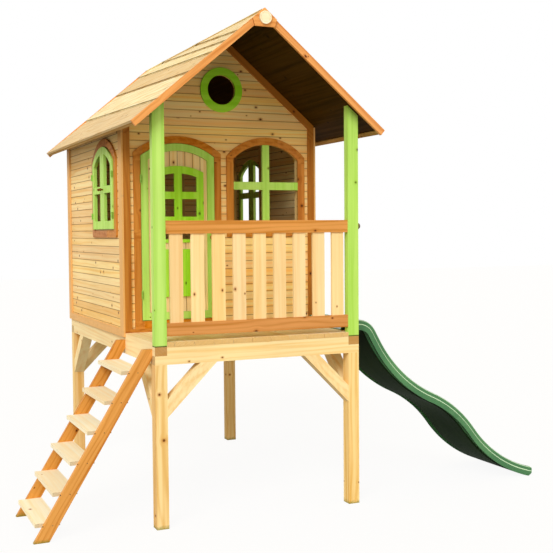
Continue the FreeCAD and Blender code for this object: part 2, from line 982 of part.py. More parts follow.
# The frame round the door's panes, with an upright bar and a halved cross bar.
def door_window_frame():
    out = house_front - trim_thickness
    outer = door_pane(door_frame_width, out, house_front)
    inner = door_pane(0, out - overrun, house_front + overrun)
    post_left = door_middle - door_mullion_width / 2
    post_right = door_middle + door_mullion_width / 2
    bar_low = floor + door_bar_lift
    bar_high = bar_low + door_bar_height
    left = door_middle - door_pane_half_width
    right = door_middle + door_pane_half_width
    far_left = left - door_frame_width
    far_right = right + door_frame_width
    pane_low = floor + door_pane_bottom_lift
    frame_low = pane_low - door_frame_width
    cross = door_pane(0, out, house_front)
    ring_boxes = [
        box(far_left, left, out, house_front, frame_low, far_above),
        box(right, far_right, out, house_front, frame_low, far_above),
        box(left, right, out, house_front, frame_low, pane_low),
        box(left, right, out, house_front, pane_low, far_above),
    ]
    cross_boxes = [
        box(post_left, post_right, out, house_front, pane_low, far_above),
        box(left, post_left, out, house_front, bar_low, bar_high),
        box(post_right, right, out, house_front, bar_low, bar_high),
    ]
    return group([members(outer.cut(inner), ring_boxes), members(cross, cross_boxes)])


# The low panel of short boards and the two strips at the slot.
def door_panels():
    half = door_pane_half_width + door_frame_width
    low = floor + panel_bottom_lift
    out = house_front - panel_thickness
    count = math.ceil(half / board_pitch)
    solids = []
    for index in range(-count, count):
        left = door_middle + index * board_pitch
        right = left + board_pitch
        shy = out + board_bevel
        corners = [
            V(left, shy, low),
            V(left + board_bevel, out, low),
            V(right - board_bevel, out, low),
            V(right, shy, low),
            V(right, house_front, low),
            V(left, house_front, low),
        ]
        face = Part.Face(Part.makePolygon(corners + corners[:1]))
        limit = box(
            door_middle - half,
            door_middle + half,
            out - overrun,
            house_front + overrun,
            low,
            low + panel_height,
        )
        solids.append(face.extrude(V(0, 0, panel_height)).common(limit))
    strip_out = house_front - slot_strip_thickness
    slot_low = floor + slot_bottom_lift
    slot_high = slot_low + slot_height
    for bottom in (slot_low - slot_strip_height, slot_high):
        solids.append(
            box(
                door_middle - half,
                door_middle + half,
                strip_out,
                house_front,
                bottom,
                bottom + slot_strip_height,
            )
        )
    return group(solids)


def door_knob():
    x = door_middle + door_half_width - door_knob_inset
    y = house_front - trim_thickness
    base = V(x, y, floor + door_knob_lift)
    return knob(base, V(0, -1, 0), knob_neck_radius, knob_neck_length, knob_radius)


leaf_back = -leaf_seat_gap
leaf_face = leaf_back - leaf_thickness
window_center = house_front + side_window_offset


# The nearer leaf of the left window: stiles, rails and an arched head.
def window_leaf():
    bottom = floor + leaf_bottom_lift
    rail_low = floor + leaf_rail_lift
    rail_high = rail_low + leaf_member_width
    pane_left = window_center - leaf_pair_half_width + leaf_member_width
    meeting = window_center - leaf_meeting_gap / 2
    pane_right = meeting - leaf_member_width
    pair = leaf_outline(0, bottom, leaf_face, leaf_back)
    side = box(leaf_face, leaf_back, 0, meeting, floor, far_above)
    near = leaf_face - overrun
    head = leaf_outline(-leaf_member_width, rail_high, near, overrun)
    high_pane = head.common(
        box(near, overrun, pane_left, pane_right, rail_high, far_above)
    )
    low_pane = box(
        near,
        overrun,
        pane_left,
        pane_right,
        bottom + leaf_bottom_height,
        rail_low,
    )
    leaf = pair.common(side).cut(high_pane).cut(low_pane)
    hinge_edge = window_center - leaf_pair_half_width
    low_rail_top = bottom + leaf_bottom_height
    boxes = [
        box(leaf_face, leaf_back, hinge_edge, pane_left, bottom, far_above),
        box(leaf_face, leaf_back, pane_right, meeting, bottom, far_above),
        box(leaf_face, leaf_back, pane_left, pane_right, bottom, low_rail_top),
        box(leaf_face, leaf_back, pane_left, pane_right, rail_low, rail_high),
        box(leaf_face, leaf_back, pane_left, pane_right, rail_high, far_above),
    ]
    return members(leaf, boxes)


def leaf_knob():
    y = window_center - leaf_meeting_gap / 2 - leaf_member_width / 2
    base = V(leaf_face, y, floor + leaf_knob_lift)
    return knob(
        base, V(-1, 0, 0), leaf_knob_neck_radius, leaf_knob_neck_length, leaf_knob_radius
    )


def leaf_pin():
    y = window_center - leaf_pair_half_width - leaf_gap / 2
    return V(leaf_face - leaf_knuckle_radius, y, 0)


# Small butt hinges let into the gap between the casing and the outer stile.
def leaf_hinges():
    pin = leaf_pin()
    casing_edge = pin.y - leaf_gap / 2
    leaf_edge = pin.y + leaf_gap / 2
    fixed_face = casing_edge + hinge_plate_thickness
    moving_face = leaf_edge - hinge_plate_thickness
    plate_end = -trim_thickness + leaf_hinge_plate_depth
    fixed_solids = []
    moving_solids = []
    for lift in leaf_hinge_lifts:
        low = floor + leaf_bottom_lift + lift - leaf_hinge_height / 2
        high = low + leaf_hinge_height
        fixed_plate = box(pin.x, plate_end, casing_edge, fixed_face, low, high)
        moving_plate = box(pin.x, plate_end, moving_face, leaf_edge, low, high)
        fixed, moving = hinge(
            pin,
            low,
            leaf_hinge_height,
            leaf_knuckle_radius,
            leaf_pin_radius,
            fixed_plate,
            moving_plate,
        )
        fixed_solids.extend(fixed)
        moving_solids.append(moving)
    return group(fixed_solids), group(moving_solids)


def flip_window(shape):
    return shape.mirror(V(0, window_center, 0), V(0, 1, 0))


# The half-space above a line parallel to one slope, used to end the other slope.
def ridge_cutter(up):
    reach = slope_length + slope_length
    start = slope_length / 2
    low_x, low_z = slope_place(start, up)
    high_x, high_z = slope_place(reach, up)
    far_x, far_z = slope_place(reach, up + reach)
    back_x, back_z = slope_place(start, up + reach)
    points = [(low_x, low_z), (high_x, high_z), (far_x, far_z), (back_x, back_z)]
    near = -roof_front - overrun
    far = deck_depth + roof_back + overrun
    return outline_solid(points, front_point, near, far)


# The section of a roof board at one end: a rebate sits over the board below.
def roof_board_wire(low, high, depth, is_first):
    base = roof_panel_thickness
    thin = base + roof_board_thin
    top = base + roof_board_butt
    tail = high + roof_board_lap
    profile = [(low, top), (high, thin), (tail, thin), (tail, base)]
    if is_first:
        profile.append((low, base))
    else:
        profile.append((low + roof_board_lap, base))
        profile.append((low + roof_board_lap, thin))
        profile.append((low, thin))
    corners = []
    for along, up in profile:
        x, z = slope_place(along, up)
        corners.append(V(x, depth, z))
    return Part.makePolygon(corners + corners[:1])


# Boards that taper from end to end, so that their laps run into the ridge.
def roof_boards(cutter):
    fronts = [share * slope_length for share in front_lap_shares]
    backs = [share * slope_length for share in back_lap_shares]
    solids = []
    for index in range(len(fronts) - 1):
        is_first = index == 0
        near = roof_board_wire(fronts[index], fronts[index + 1], roof_start, is_first)
        far = roof_board_wire(backs[index], backs[index + 1], roof_end, is_first)
        board = Part.makeLoft([near, far], True, True)
        solids.append(board.cut(cutter))
    return solids


def roof_parts():
    over_left = ridge_cutter(roof_thickness + ridge_lap)
    under_left = ridge_cutter(roof_panel_thickness)
    left_boards = roof_boards(mirror_across(under_left))
    right_boards = [mirror_across(board) for board in roof_boards(mirror_across(over_left))]
    low_x, low_z = slope_place(0, 0)
    high_x, high_z = slope_place(0, roof_panel_thickness)
    end_low = slope_height(middle, 0)
    end_high = slope_height(middle, roof_panel_thickness)
    points = [(low_x, low_z), (middle, end_low), (middle, end_high), (high_x, high_z)]
    panel = outline_solid(points, front_point, roof_start, roof_end)
    batten_points = []
    for along, up in (
        (0, 0),
        (eave_batten_width, 0),
        (eave_batten_width, -eave_batten_height),
        (0, -eave_batten_height),
    ):
        batten_points.append(slope_place(along, up))
    batten = outline_solid(batten_points, front_point, roof_start, roof_end)
    return {
        "roof_panels": group([panel, mirror_across(panel)]),
        "roof_boards_left": group(left_boards),
        "roof_boards_right": group(right_boards),
        "eave_battens": group([batten, mirror_across(batten)]),
    }


# Barge boards, mitred at the ridge, with their lower ends cut square.
def barge_boards():
    low = roof_thickness - barge_height
    eave_low = slope_place(0, low)
    eave_high = slope_place(0, roof_thickness)
    points = [
        eave_low,
        (middle, slope_height(middle, low)),
        (middle, slope_height(middle, roof_thickness)),
        eave_high,
    ]
    front = outline_solid(points, front_point, -roof_front, roof_start)
    back = outline_solid(points, front_point, roof_end, roof_end + barge_thickness)
    return group([front, back, mirror_across(front), mirror_across(back)])


# Five-sided plates that hide the mitres of the barge boards.
def ridge_plates():
    shoulder = ridge_height - ridge_plate_half_width * math.tan(slope_angle)
    foot = ridge_height - ridge_plate_height
    points = [
        (middle - ridge_plate_foot_half_width, foot),
        (middle + ridge_plate_foot_half_width, foot),
        (middle + ridge_plate_half_width, shoulder),
        (middle, ridge_height),
        (middle - ridge_plate_half_width, shoulder),
    ]
    front_far = -roof_front
    front = outline_solid(points, front_point, front_far - ridge_plate_thickness, front_far)
    back_near = deck_depth + roof_back
    back = outline_solid(points, front_point, back_near, back_near + ridge_plate_thickness)
    return group([front, back])


# A plain turned disc with one groove near its edge.
def ridge_disc():
    back = -roof_front - ridge_plate_thickness
    height = ridge_height - ridge_disc_drop
    face = back - ridge_disc_thickness
    disc = Part.makeCylinder(
        ridge_disc_radius, ridge_disc_thickness, V(middle, face, height), V(0, 1, 0)
    )
    groove_start = V(middle, face - overrun, height)
    groove_reach = overrun + disc_groove_depth
    inner_radius = disc_groove_radius - disc_groove_width
    groove = Part.makeCylinder(disc_groove_radius, groove_reach, groove_start, V(0, 1, 0))
    core = Part.makeCylinder(inner_radius, groove_reach, groove_start, V(0, 1, 0))
    return disc.cut(groove.cut(core))


# The front edge of the stringers at a height.
def ladder_edge(height):
    return -ladder_foot_reach + height / math.tan(math.radians(ladder_angle))


def ladder_stringers():
    top = beam_top - ladder_top_drop
    back_meets_frame = (ladder_foot_reach - ladder_stringer_run) * math.tan(
        math.radians(ladder_angle)
    )
    points = [
        (-ladder_foot_reach, 0),
        (-ladder_foot_reach + ladder_stringer_run, 0),
        (0, back_meets_frame),
        (0, top),
        (ladder_edge(top), top),
    ]
    near = ladder_near_setback
    inner_near = near + ladder_stringer_thickness
    inner_far = inner_near + ladder_clear_width
    far = inner_far + ladder_stringer_thickness
    first = outline_solid(points, front_point, near, inner_near)
    second = outline_solid(points, front_point, inner_far, far)
    return group([first, second])


def ladder_treads():
    near = ladder_near_setback + ladder_stringer_thickness
    far = near + ladder_clear_width
    depth = tread_nose + ladder_stringer_run + tread_tail
    solids = []
    for index in range(tread_count):
        top = first_tread_height + index * tread_rise
        front = ladder_edge(top - tread_thickness / 2) - tread_nose
        solids.append(box(front, front + depth, near, far, top - tread_thickness, top))
    return group(solids)


def ladder_cleats():
    near = ladder_near_setback + ladder_stringer_thickness
    far = near + ladder_clear_width
    solids = []
    for index in range(tread_count):
        high = first_tread_height + index * tread_rise - tread_thickness
        low = high - cleat_height
        front = ladder_edge(high) + cleat_margin
        back = ladder_edge(low) + ladder_stringer_run - cleat_margin
        solids.append(box(front, back, near, near + cleat_thickness, low, high))
        solids.append(box(front, back, far - cleat_thickness, far, low, high))
    return group(solids)


def turn_drop(radius, start, end):
    return radius * abs(math.cos(math.radians(start)) - math.cos(math.radians(end)))


# The slide's line: a level lead, then the bends, with one straight after the first.
# The straight is as long as it takes for the nose to touch the ground.
def slide_line():
    heading = 0
    drop = 0
    for radius, turn in zip(slide_radii, slide_turns):
        drop += turn_drop(radius, heading, heading + turn)
        heading += turn
    level, tilt = math.cos(math.radians(heading)), math.sin(math.radians(heading))
    rim_end = skirt_depth * level - nose_bottom_round * (tilt + level - 1)
    steep = math.sin(math.radians(slide_turns[0]))
    straight = (floor + skirt_depth - rim_end - drop) / steep
    line = [(slide_lead, 0)]
    for index in range(len(slide_radii)):
        line.append((slide_radii[index], slide_turns[index]))
        if index == 0:
            line.append((straight, 0))
    return line


def forward(heading):
    angle = math.radians(heading)
    return V(math.cos(angle), 0, -math.sin(angle))


def slide_start():
    return V(deck_width, slide_setback + slide_width / 2, floor + skirt_depth)


# A section of the slide turned to the heading and moved to a point of the line.
def stand_section(section, point, heading):
    face = section.copy()
    face.rotate(slide_start(), V(0, 1, 0), heading)
    face.translate(point - slide_start())
    return face


# Carries a section along one stretch: straight without a turn, else round the bend's centre.
def carry_stretch(section, size, turn, point, heading):
    face = stand_section(section, point, heading)
    if turn == 0:
        ahead = forward(heading) * size
        return face.extrude(ahead), point + ahead
    side = 1 if turn > 0 else -1
    angle = math.radians(heading)
    center = point + V(-math.sin(angle), 0, -math.cos(angle)) * (size * side)
    swing = FreeCAD.Rotation(V(0, 1, 0), turn)
    bend = face.revolve(center, V(0, side, 0), abs(turn))
    return bend, center + swing.multVec(point - center)


def section_place(across, down, x):
    return V(x, slide_setback + slide_width / 2 + across, floor + skirt_depth - down)


def arc_edge(start, center, end, bulge, x):
    mid_across = center[0] + bulge[0] * math.sqrt(0.5)
    mid_down = center[1] + bulge[1] * math.sqrt(0.5)
    return Part.Arc(
        section_place(start[0], start[1], x),
        section_place(mid_across, mid_down, x),
        section_place(end[0], end[1], x),
    ).toShape()


def line_edge(start, end, x):
    return Part.LineSegment(
        section_place(start[0], start[1], x), section_place(end[0], end[1], x)
    ).toShape()


# One face of the chute's section, drawn for one side and closed over the middle.
def chute_section(x):
    half = slide_width / 2
    skirt = half - slide_lip
    shoulder = skirt - shoulder_step
    rim_inner = shoulder - rim_width
    bed = skirt_depth - slide_wall
    wall_foot = rim_inner - trough_lean
    soft = rim_round - slide_wall
    inner_skirt = skirt - slide_wall
    inner_shoulder = shoulder - slide_wall
    inner_rim = rim_inner + slide_wall
    hollow_foot = wall_foot + slide_wall
    edges = []
    for sign in (1, -1):
        outer = [
            (0, bed),
            (sign * (wall_foot - trough_round), bed),
            (sign * wall_foot, bed - trough_round),
            (sign * rim_inner, rim_round),
            (sign * (rim_inner + rim_round), 0),
            (sign * (shoulder - rim_round), 0),
            (sign * shoulder, rim_round),
            (sign * shoulder, shoulder_height - shoulder_step),
            (sign * skirt, shoulder_height),
            (sign * skirt, skirt_depth - slide_lip_height),
            (sign * half, skirt_depth - slide_lip_height),
            (sign * half, skirt_depth),
            (sign * inner_skirt, skirt_depth),
            (sign * inner_skirt, shoulder_height + slide_wall),
            (sign * inner_shoulder, shoulder_height + slide_wall - shoulder_step),
            (sign * inner_shoulder, rim_round),
            (sign * (shoulder - rim_round), slide_wall),
            (sign * (rim_inner + rim_round), slide_wall),
            (sign * inner_rim, rim_round),
            (sign * hollow_foot, skirt_depth - trough_round),
            (sign * (hollow_foot - trough_round), skirt_depth),
            (0, skirt_depth),
        ]
        bends = {
            1: ((sign * (wall_foot - trough_round), bed - trough_round), trough_round, 1, 1),
            3: ((sign * (rim_inner + rim_round), rim_round), rim_round, -1, -1),
            5: ((sign * (shoulder - rim_round), rim_round), rim_round, 1, -1),
            15: ((sign * (shoulder - rim_round), rim_round), soft, 1, -1),
            17: ((sign * (rim_inner + rim_round), rim_round), soft, -1, -1),
            19: ((sign * (hollow_foot - trough_round), skirt_depth - trough_round), trough_round, 1, 1),
        }
        for index in range(len(outer) - 1):
            if index in bends:
                center, radius, out, low = bends[index]
                bulge = (sign * out * radius, low * radius)
                edges.append(arc_edge(outer[index], center, outer[index + 1], bulge, x))
            else:
                edges.append(line_edge(outer[index], outer[index + 1], x))
    return Part.Face(Part.Wire(Part.__sortEdges__(edges)))


# The nose closes the hollows under the rims: the space between the bed and the skirt's edge.
def nose_fill(x):
    half = slide_width / 2 - slide_lip
    inner = half - shoulder_step - rim_width + slide_wall / 2
    top = rim_round
    faces = []
    for sign in (1, -1):
        corners = [
            section_place(sign * (half - slide_wall / 2), shoulder_height, x),
            section_place(sign * (half - slide_wall / 2), skirt_depth, x),
            section_place(sign * (inner - trough_lean), skirt_depth, x),
            section_place(sign * inner, top, x),
            section_place(sign * (half - shoulder_step - slide_wall / 2), top, x),
        ]
        faces.append(Part.Face(Part.makePolygon(corners + corners[:1])))
    return faces


# Rounds the nose seen from the side, above and below, across the whole width.
def nose_cutters(point, heading):
    down = V(-math.sin(math.radians(heading)), 0, -math.cos(math.radians(heading)))
    ahead = forward(heading)
    half = V(0, slide_width / 2 + overrun, 0)
    cutters = []
    for level, out, radius in ((0, -1, nose_top_round), (skirt_depth, 1, nose_bottom_round)):
        corner = point + down * level
        center = corner - ahead * radius - down * (radius * out)
        outer = down * (out * (radius + overrun))
        reach = ahead * (radius + overrun)
        points = [center, center + reach, center + reach + outer, center + outer]
        points = [place - half for place in points]
        block = Part.Face(Part.makePolygon(points + points[:1])).extrude(half * 2)
        roller = Part.makeCylinder(radius, half.y * 2, center - half, V(0, 1, 0))
        cutters.append(block.cut(roller))
    return cutters


def slide_chute():
    point = slide_start()
    heading = 0
    lead_in = chute_section(deck_width - slide_deck_lap)
    stretches = [lead_in.extrude(V(slide_deck_lap, 0, 0))]
    section = chute_section(deck_width)
    for size, turn in slide_line():
        stretch, point = carry_stretch(section, size, turn, point, heading)
        stretches.append(stretch)
        heading += turn
    for face in nose_fill(deck_width):
        end_face = stand_section(face, point, heading)
        stretches.append(end_face.extrude(forward(heading) * -nose_length))
    center_y = slide_setback + slide_width / 2
    hook = box(
        deck_width,
        deck_width + slide_wall,
        center_y - hook_width / 2,
        center_y + hook_width / 2,
        floor - hook_depth,
        floor + slide_wall / 2,
    )
    stretches.append(hook)
    chute = stretches[0].multiFuse(stretches[1:]).removeSplitter()
    for cutter in nose_cutters(point, heading):
        chute = chute.cut(cutter)
    return chute, point


# Screws through the slide's hook into the beam.
def slide_screws():
    center_y = slide_setback + slide_width / 2
    height = floor - hook_depth / 2 - floor_board_thickness / 2
    solids = []
    for side in (-1, 1):
        y = center_y + side * (hook_width / 2 - hook_screw_inset)
        x = deck_width + slide_wall
        head = Part.makeCylinder(hook_screw_radius, hook_screw_head, V(x, y, height), V(1, 0, 0))
        shank = Part.makeCylinder(
            hook_screw_radius / 2,
            hook_screw_length,
            V(x - hook_screw_length, y, height),
            V(1, 0, 0),
        )
        solids.append(head.fuse(shank))
    return group(solids)


parts = {}
parts.update(legs())
parts.update(beams())
parts["deck_joists"] = joists()
parts["knee_braces"] = knee_braces()
parts["deck_boards"] = floor_boards()
posts = porch_posts()
slats = railing_slats()
bolt_holes = group([bolt_shank(), mirror_across(bolt_shank())])
parts["porch_posts"] = posts.cut(bolt_holes)
rails = group([railing_rail(low_rail_lift, slats), railing_rail(top_rail_lift, slats)])
parts["railing_rails"] = rails.cut(bolt_holes)
parts["railing_slats"] = slats
left_bolt = rail_bolt(0, V(1, 0, 0), low_head_radius, low_head_height)
right_bolt = rail_bolt(deck_width, V(-1, 0, 0), cap_radius, cap_height)
parts["rail_bolts"] = group([left_bolt, right_bolt])
parts.update(cladding())
parts["wall_studs"] = wall_frame()
parts["wall_trims"] = wall_trims()
parts["door_casing"] = door_casing()
parts["front_window_casing"] = front_window_casing()
parts["front_window_bars"] = front_window_bars()
casing_left = side_window_casing()
parts["side_window_casings"] = group([casing_left, turn_about_house(casing_left)])
parts["round_window_ring"] = round_window_ring()
parts.update(roof_parts())
parts["barge_boards"] = barge_boards()
parts["ridge_plates"] = ridge_plates()
parts["ridge_disc"] = ridge_disc()
parts["ladder_stringers"] = ladder_stringers()
parts["ladder_treads"] = ladder_treads()
parts["ladder_cleats"] = ladder_cleats()
slide, slide_end = slide_chute()
screws = slide_screws()
parts["slide_screws"] = screws
parts["slide_chute"] = slide.cut(screws)
parts["beam_right"] = parts["beam_right"].cut(screws)

door_fixed, door_moving = door_hinges()
parts["door_hinge_flaps_fixed"] = door_fixed
parts["door_hinge_flaps_moving"] = door_moving
parts["door_boards"] = door_boards()
parts["door_border"] = door_border()
parts["door_window_frame"] = door_window_frame()
parts["door_panels"] = door_panels()
parts["door_knob"] = door_knob()

near_leaf = window_leaf()
near_knob = leaf_knob()
near_fixed, near_moving = leaf_hinges()
far_fixed = flip_window(near_fixed)
left_fixed = group([near_fixed, far_fixed])
parts["window_hinge_flaps_fixed"] = group([left_fixed, turn_about_house(left_fixed)])
leaf_sets = {
    "left_front": (near_leaf, near_knob, near_moving),
    "left_back": (
        flip_window(near_leaf),
        flip_window(near_knob),
        flip_window(near_moving),
    ),
}
leaf_sets["right_back"] = tuple(turn_about_house(shape) for shape in leaf_sets["left_front"])
leaf_sets["right_front"] = tuple(turn_about_house(shape) for shape in leaf_sets["left_back"])
for place_name, shapes in leaf_sets.items():
    parts["leaf_" + place_name] = shapes[0]
    parts["leaf_knob_" + place_name] = shapes[1]
    parts["leaf_hinges_" + place_name] = shapes[2]

# The frame's origin is the middle of the ground the whole toy covers.
ground_left = -ladder_foot_reach
ground_right = slide_end.x
ground_front = -roof_front - ridge_plate_thickness - ridge_disc_thickness
ground_back = deck_depth + roof_back + ridge_plate_thickness
shift = V(-(ground_left + ground_right) / 2, -(ground_front + ground_back) / 2, 0)

for name, shape in parts.items():
    placed = group([shape])
    placed.translate(shift)
    placed.exportStep("parts/" + name + ".step")
    count = len(placed.Solids)
    valid = placed.isValid()
    print(name, count, "solids, volume", round(placed.Volume), "valid", valid)
print("shift", round(shift.x, 3), round(shift.y, 3))
print("slide end", round(slide_end.x, 2), round(slide_end.z, 2))
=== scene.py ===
# Playhouse on stilts: stains, plastic, screws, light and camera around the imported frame
import math

import bpy
import numpy as np
from mathutils import Matrix, Vector


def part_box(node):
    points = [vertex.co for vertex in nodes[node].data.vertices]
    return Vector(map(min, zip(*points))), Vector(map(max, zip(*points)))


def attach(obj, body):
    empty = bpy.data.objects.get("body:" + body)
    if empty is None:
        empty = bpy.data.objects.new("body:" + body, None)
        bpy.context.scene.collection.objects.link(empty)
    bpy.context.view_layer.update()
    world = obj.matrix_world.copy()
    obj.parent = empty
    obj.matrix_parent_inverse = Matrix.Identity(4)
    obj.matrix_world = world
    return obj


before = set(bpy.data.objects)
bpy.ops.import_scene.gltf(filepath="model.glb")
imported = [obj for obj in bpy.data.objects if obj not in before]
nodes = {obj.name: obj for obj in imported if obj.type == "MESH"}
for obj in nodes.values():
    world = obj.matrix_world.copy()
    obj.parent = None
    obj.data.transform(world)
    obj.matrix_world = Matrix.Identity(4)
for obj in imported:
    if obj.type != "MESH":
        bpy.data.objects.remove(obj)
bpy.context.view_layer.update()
print("frame in place:", len(nodes), "pieces")

# The platform's left edge and half its width, from which the other x values are measured
houseLeft = -0.9952
houseHalf = 0.64
houseMiddle = (houseLeft + houseHalf, -0.0165, 0.0)
roofSlope = math.radians(40.1)
ladderSlope = math.radians(58.5)

# Directions of the grain. sideways runs along the front and the side walls alike
xAxis = (1, 0, 0)
yAxis = (0, 1, 0)
zAxis = (0, 0, 1)
sideways = (1, 1, 0)
slopeDown = (math.cos(roofSlope), 0, -math.sin(roofSlope))
slopeOver = (math.sin(roofSlope), 0, math.cos(roofSlope))
ladderUp = (math.cos(ladderSlope), 0, math.sin(ladderSlope))
ladderOver = (-math.sin(ladderSlope), 0, math.cos(ladderSlope))

# Most of a noise's values lie in this range
noiseRange = (0.3, 0.7)


# An sRGB share c turns linear: c / 12.92 up to 0.04045, else ((c + 0.055) / 1.055) ^ 2.4
def paint(red, green, blue):
    shares = np.array([red, green, blue]) / 255
    low = shares / 12.92
    high = ((shares + 0.055) / 1.055) ** 2.4
    return tuple(float(v) for v in np.where(shares <= 0.04045, low, high)) + (1.0,)


# A socket gets a link to another socket, or else a plain value
def plug(tree, socket, value):
    if isinstance(value, bpy.types.NodeSocket):
        tree.links.new(value, socket)
    else:
        socket.default_value = value


# sockets are the inputs by name or number, settings the node's own properties
def addNode(tree, kind, sockets=None, **settings):
    node = tree.nodes.new(kind)
    for key, value in settings.items():
        setattr(node, key, value)
    for key, value in (sockets or {}).items():
        plug(tree, node.inputs[key], value)
    return node


# One step of arithmetic on numbers
def calc(tree, operation, *values):
    node = addNode(tree, "ShaderNodeMath", dict(enumerate(values)), operation=operation)
    return node.outputs[0]


# One step of arithmetic on vectors. Dot product and length answer with a number
def vector(tree, operation, *values):
    node = addNode(
        tree, "ShaderNodeVectorMath", dict(enumerate(values)), operation=operation
    )
    single = operation in ("DOT_PRODUCT", "LENGTH")
    return node.outputs["Value" if single else "Vector"]


# x, y and z of a place
def separate(tree, place):
    return addNode(tree, "ShaderNodeSeparateXYZ", {0: place}).outputs


# The place with this x, y and z, where those left out are 0
def combine(tree, *values):
    return addNode(tree, "ShaderNodeCombineXYZ", dict(enumerate(values))).outputs[0]


# value runs from low to high, and the answer from 0 to 1 along a smooth step
def fade(tree, value, low, high):
    node = addNode(
        tree,
        "ShaderNodeMapRange",
        {"Value": value, "From Min": low, "From Max": high},
        interpolation_type="SMOOTHSTEP",
    )
    return node.outputs["Result"]


# value runs from low to high, and the answer straight from first to last
def spread(tree, value, low, high, first, last):
    node = addNode(
        tree,
        "ShaderNodeMapRange",
        {
            "Value": value,
            "From Min": low,
            "From Max": high,
            "To Min": first,
            "To Max": last,
        },
    )
    return node.outputs["Result"]


# first * (1 - share) + second * share
def mixPaint(tree, share, first, second):
    node = addNode(
        tree, "ShaderNodeMix", {0: share, 6: first, 7: second}, data_type="RGBA"
    )
    return node.outputs[2]


# A coat of paint over a colour, by share * strength
def coat(tree, colour, share, strength, over):
    return mixPaint(tree, calc(tree, "MULTIPLY", share, strength), colour, paint(*over))


# Cloudy noise from 0 to 1, with scale cells per unit of where
def noise(tree, where, scale, detail=2.0, rough=0.5):
    node = addNode(
        tree,
        "ShaderNodeTexNoise",
        {"Vector": where, "Scale": scale, "Detail": detail, "Roughness": rough},
    )
    return node.outputs[0]


# A height from 0 to 1 raises the surface by up to the distance
def raiseSurface(tree, shader, height, strength, distance):
    bump = addNode(
        tree,
        "ShaderNodeBump",
        {"Height": height, "Strength": strength, "Distance": distance},
    )
    plug(tree, shader.inputs["Normal"], bump.outputs[0])


# A material with its node tree and its shader
def newMaterial(name):
    material = bpy.data.materials.new(name)
    material.use_nodes = True
    tree = material.node_tree
    return material, tree, tree.nodes["Principled BSDF"]


# The named pieces of the frame wear the material
def dress(material, *names):
    for name in names:
        slots = nodes[name].data.materials
        slots.clear()
        slots.append(material)


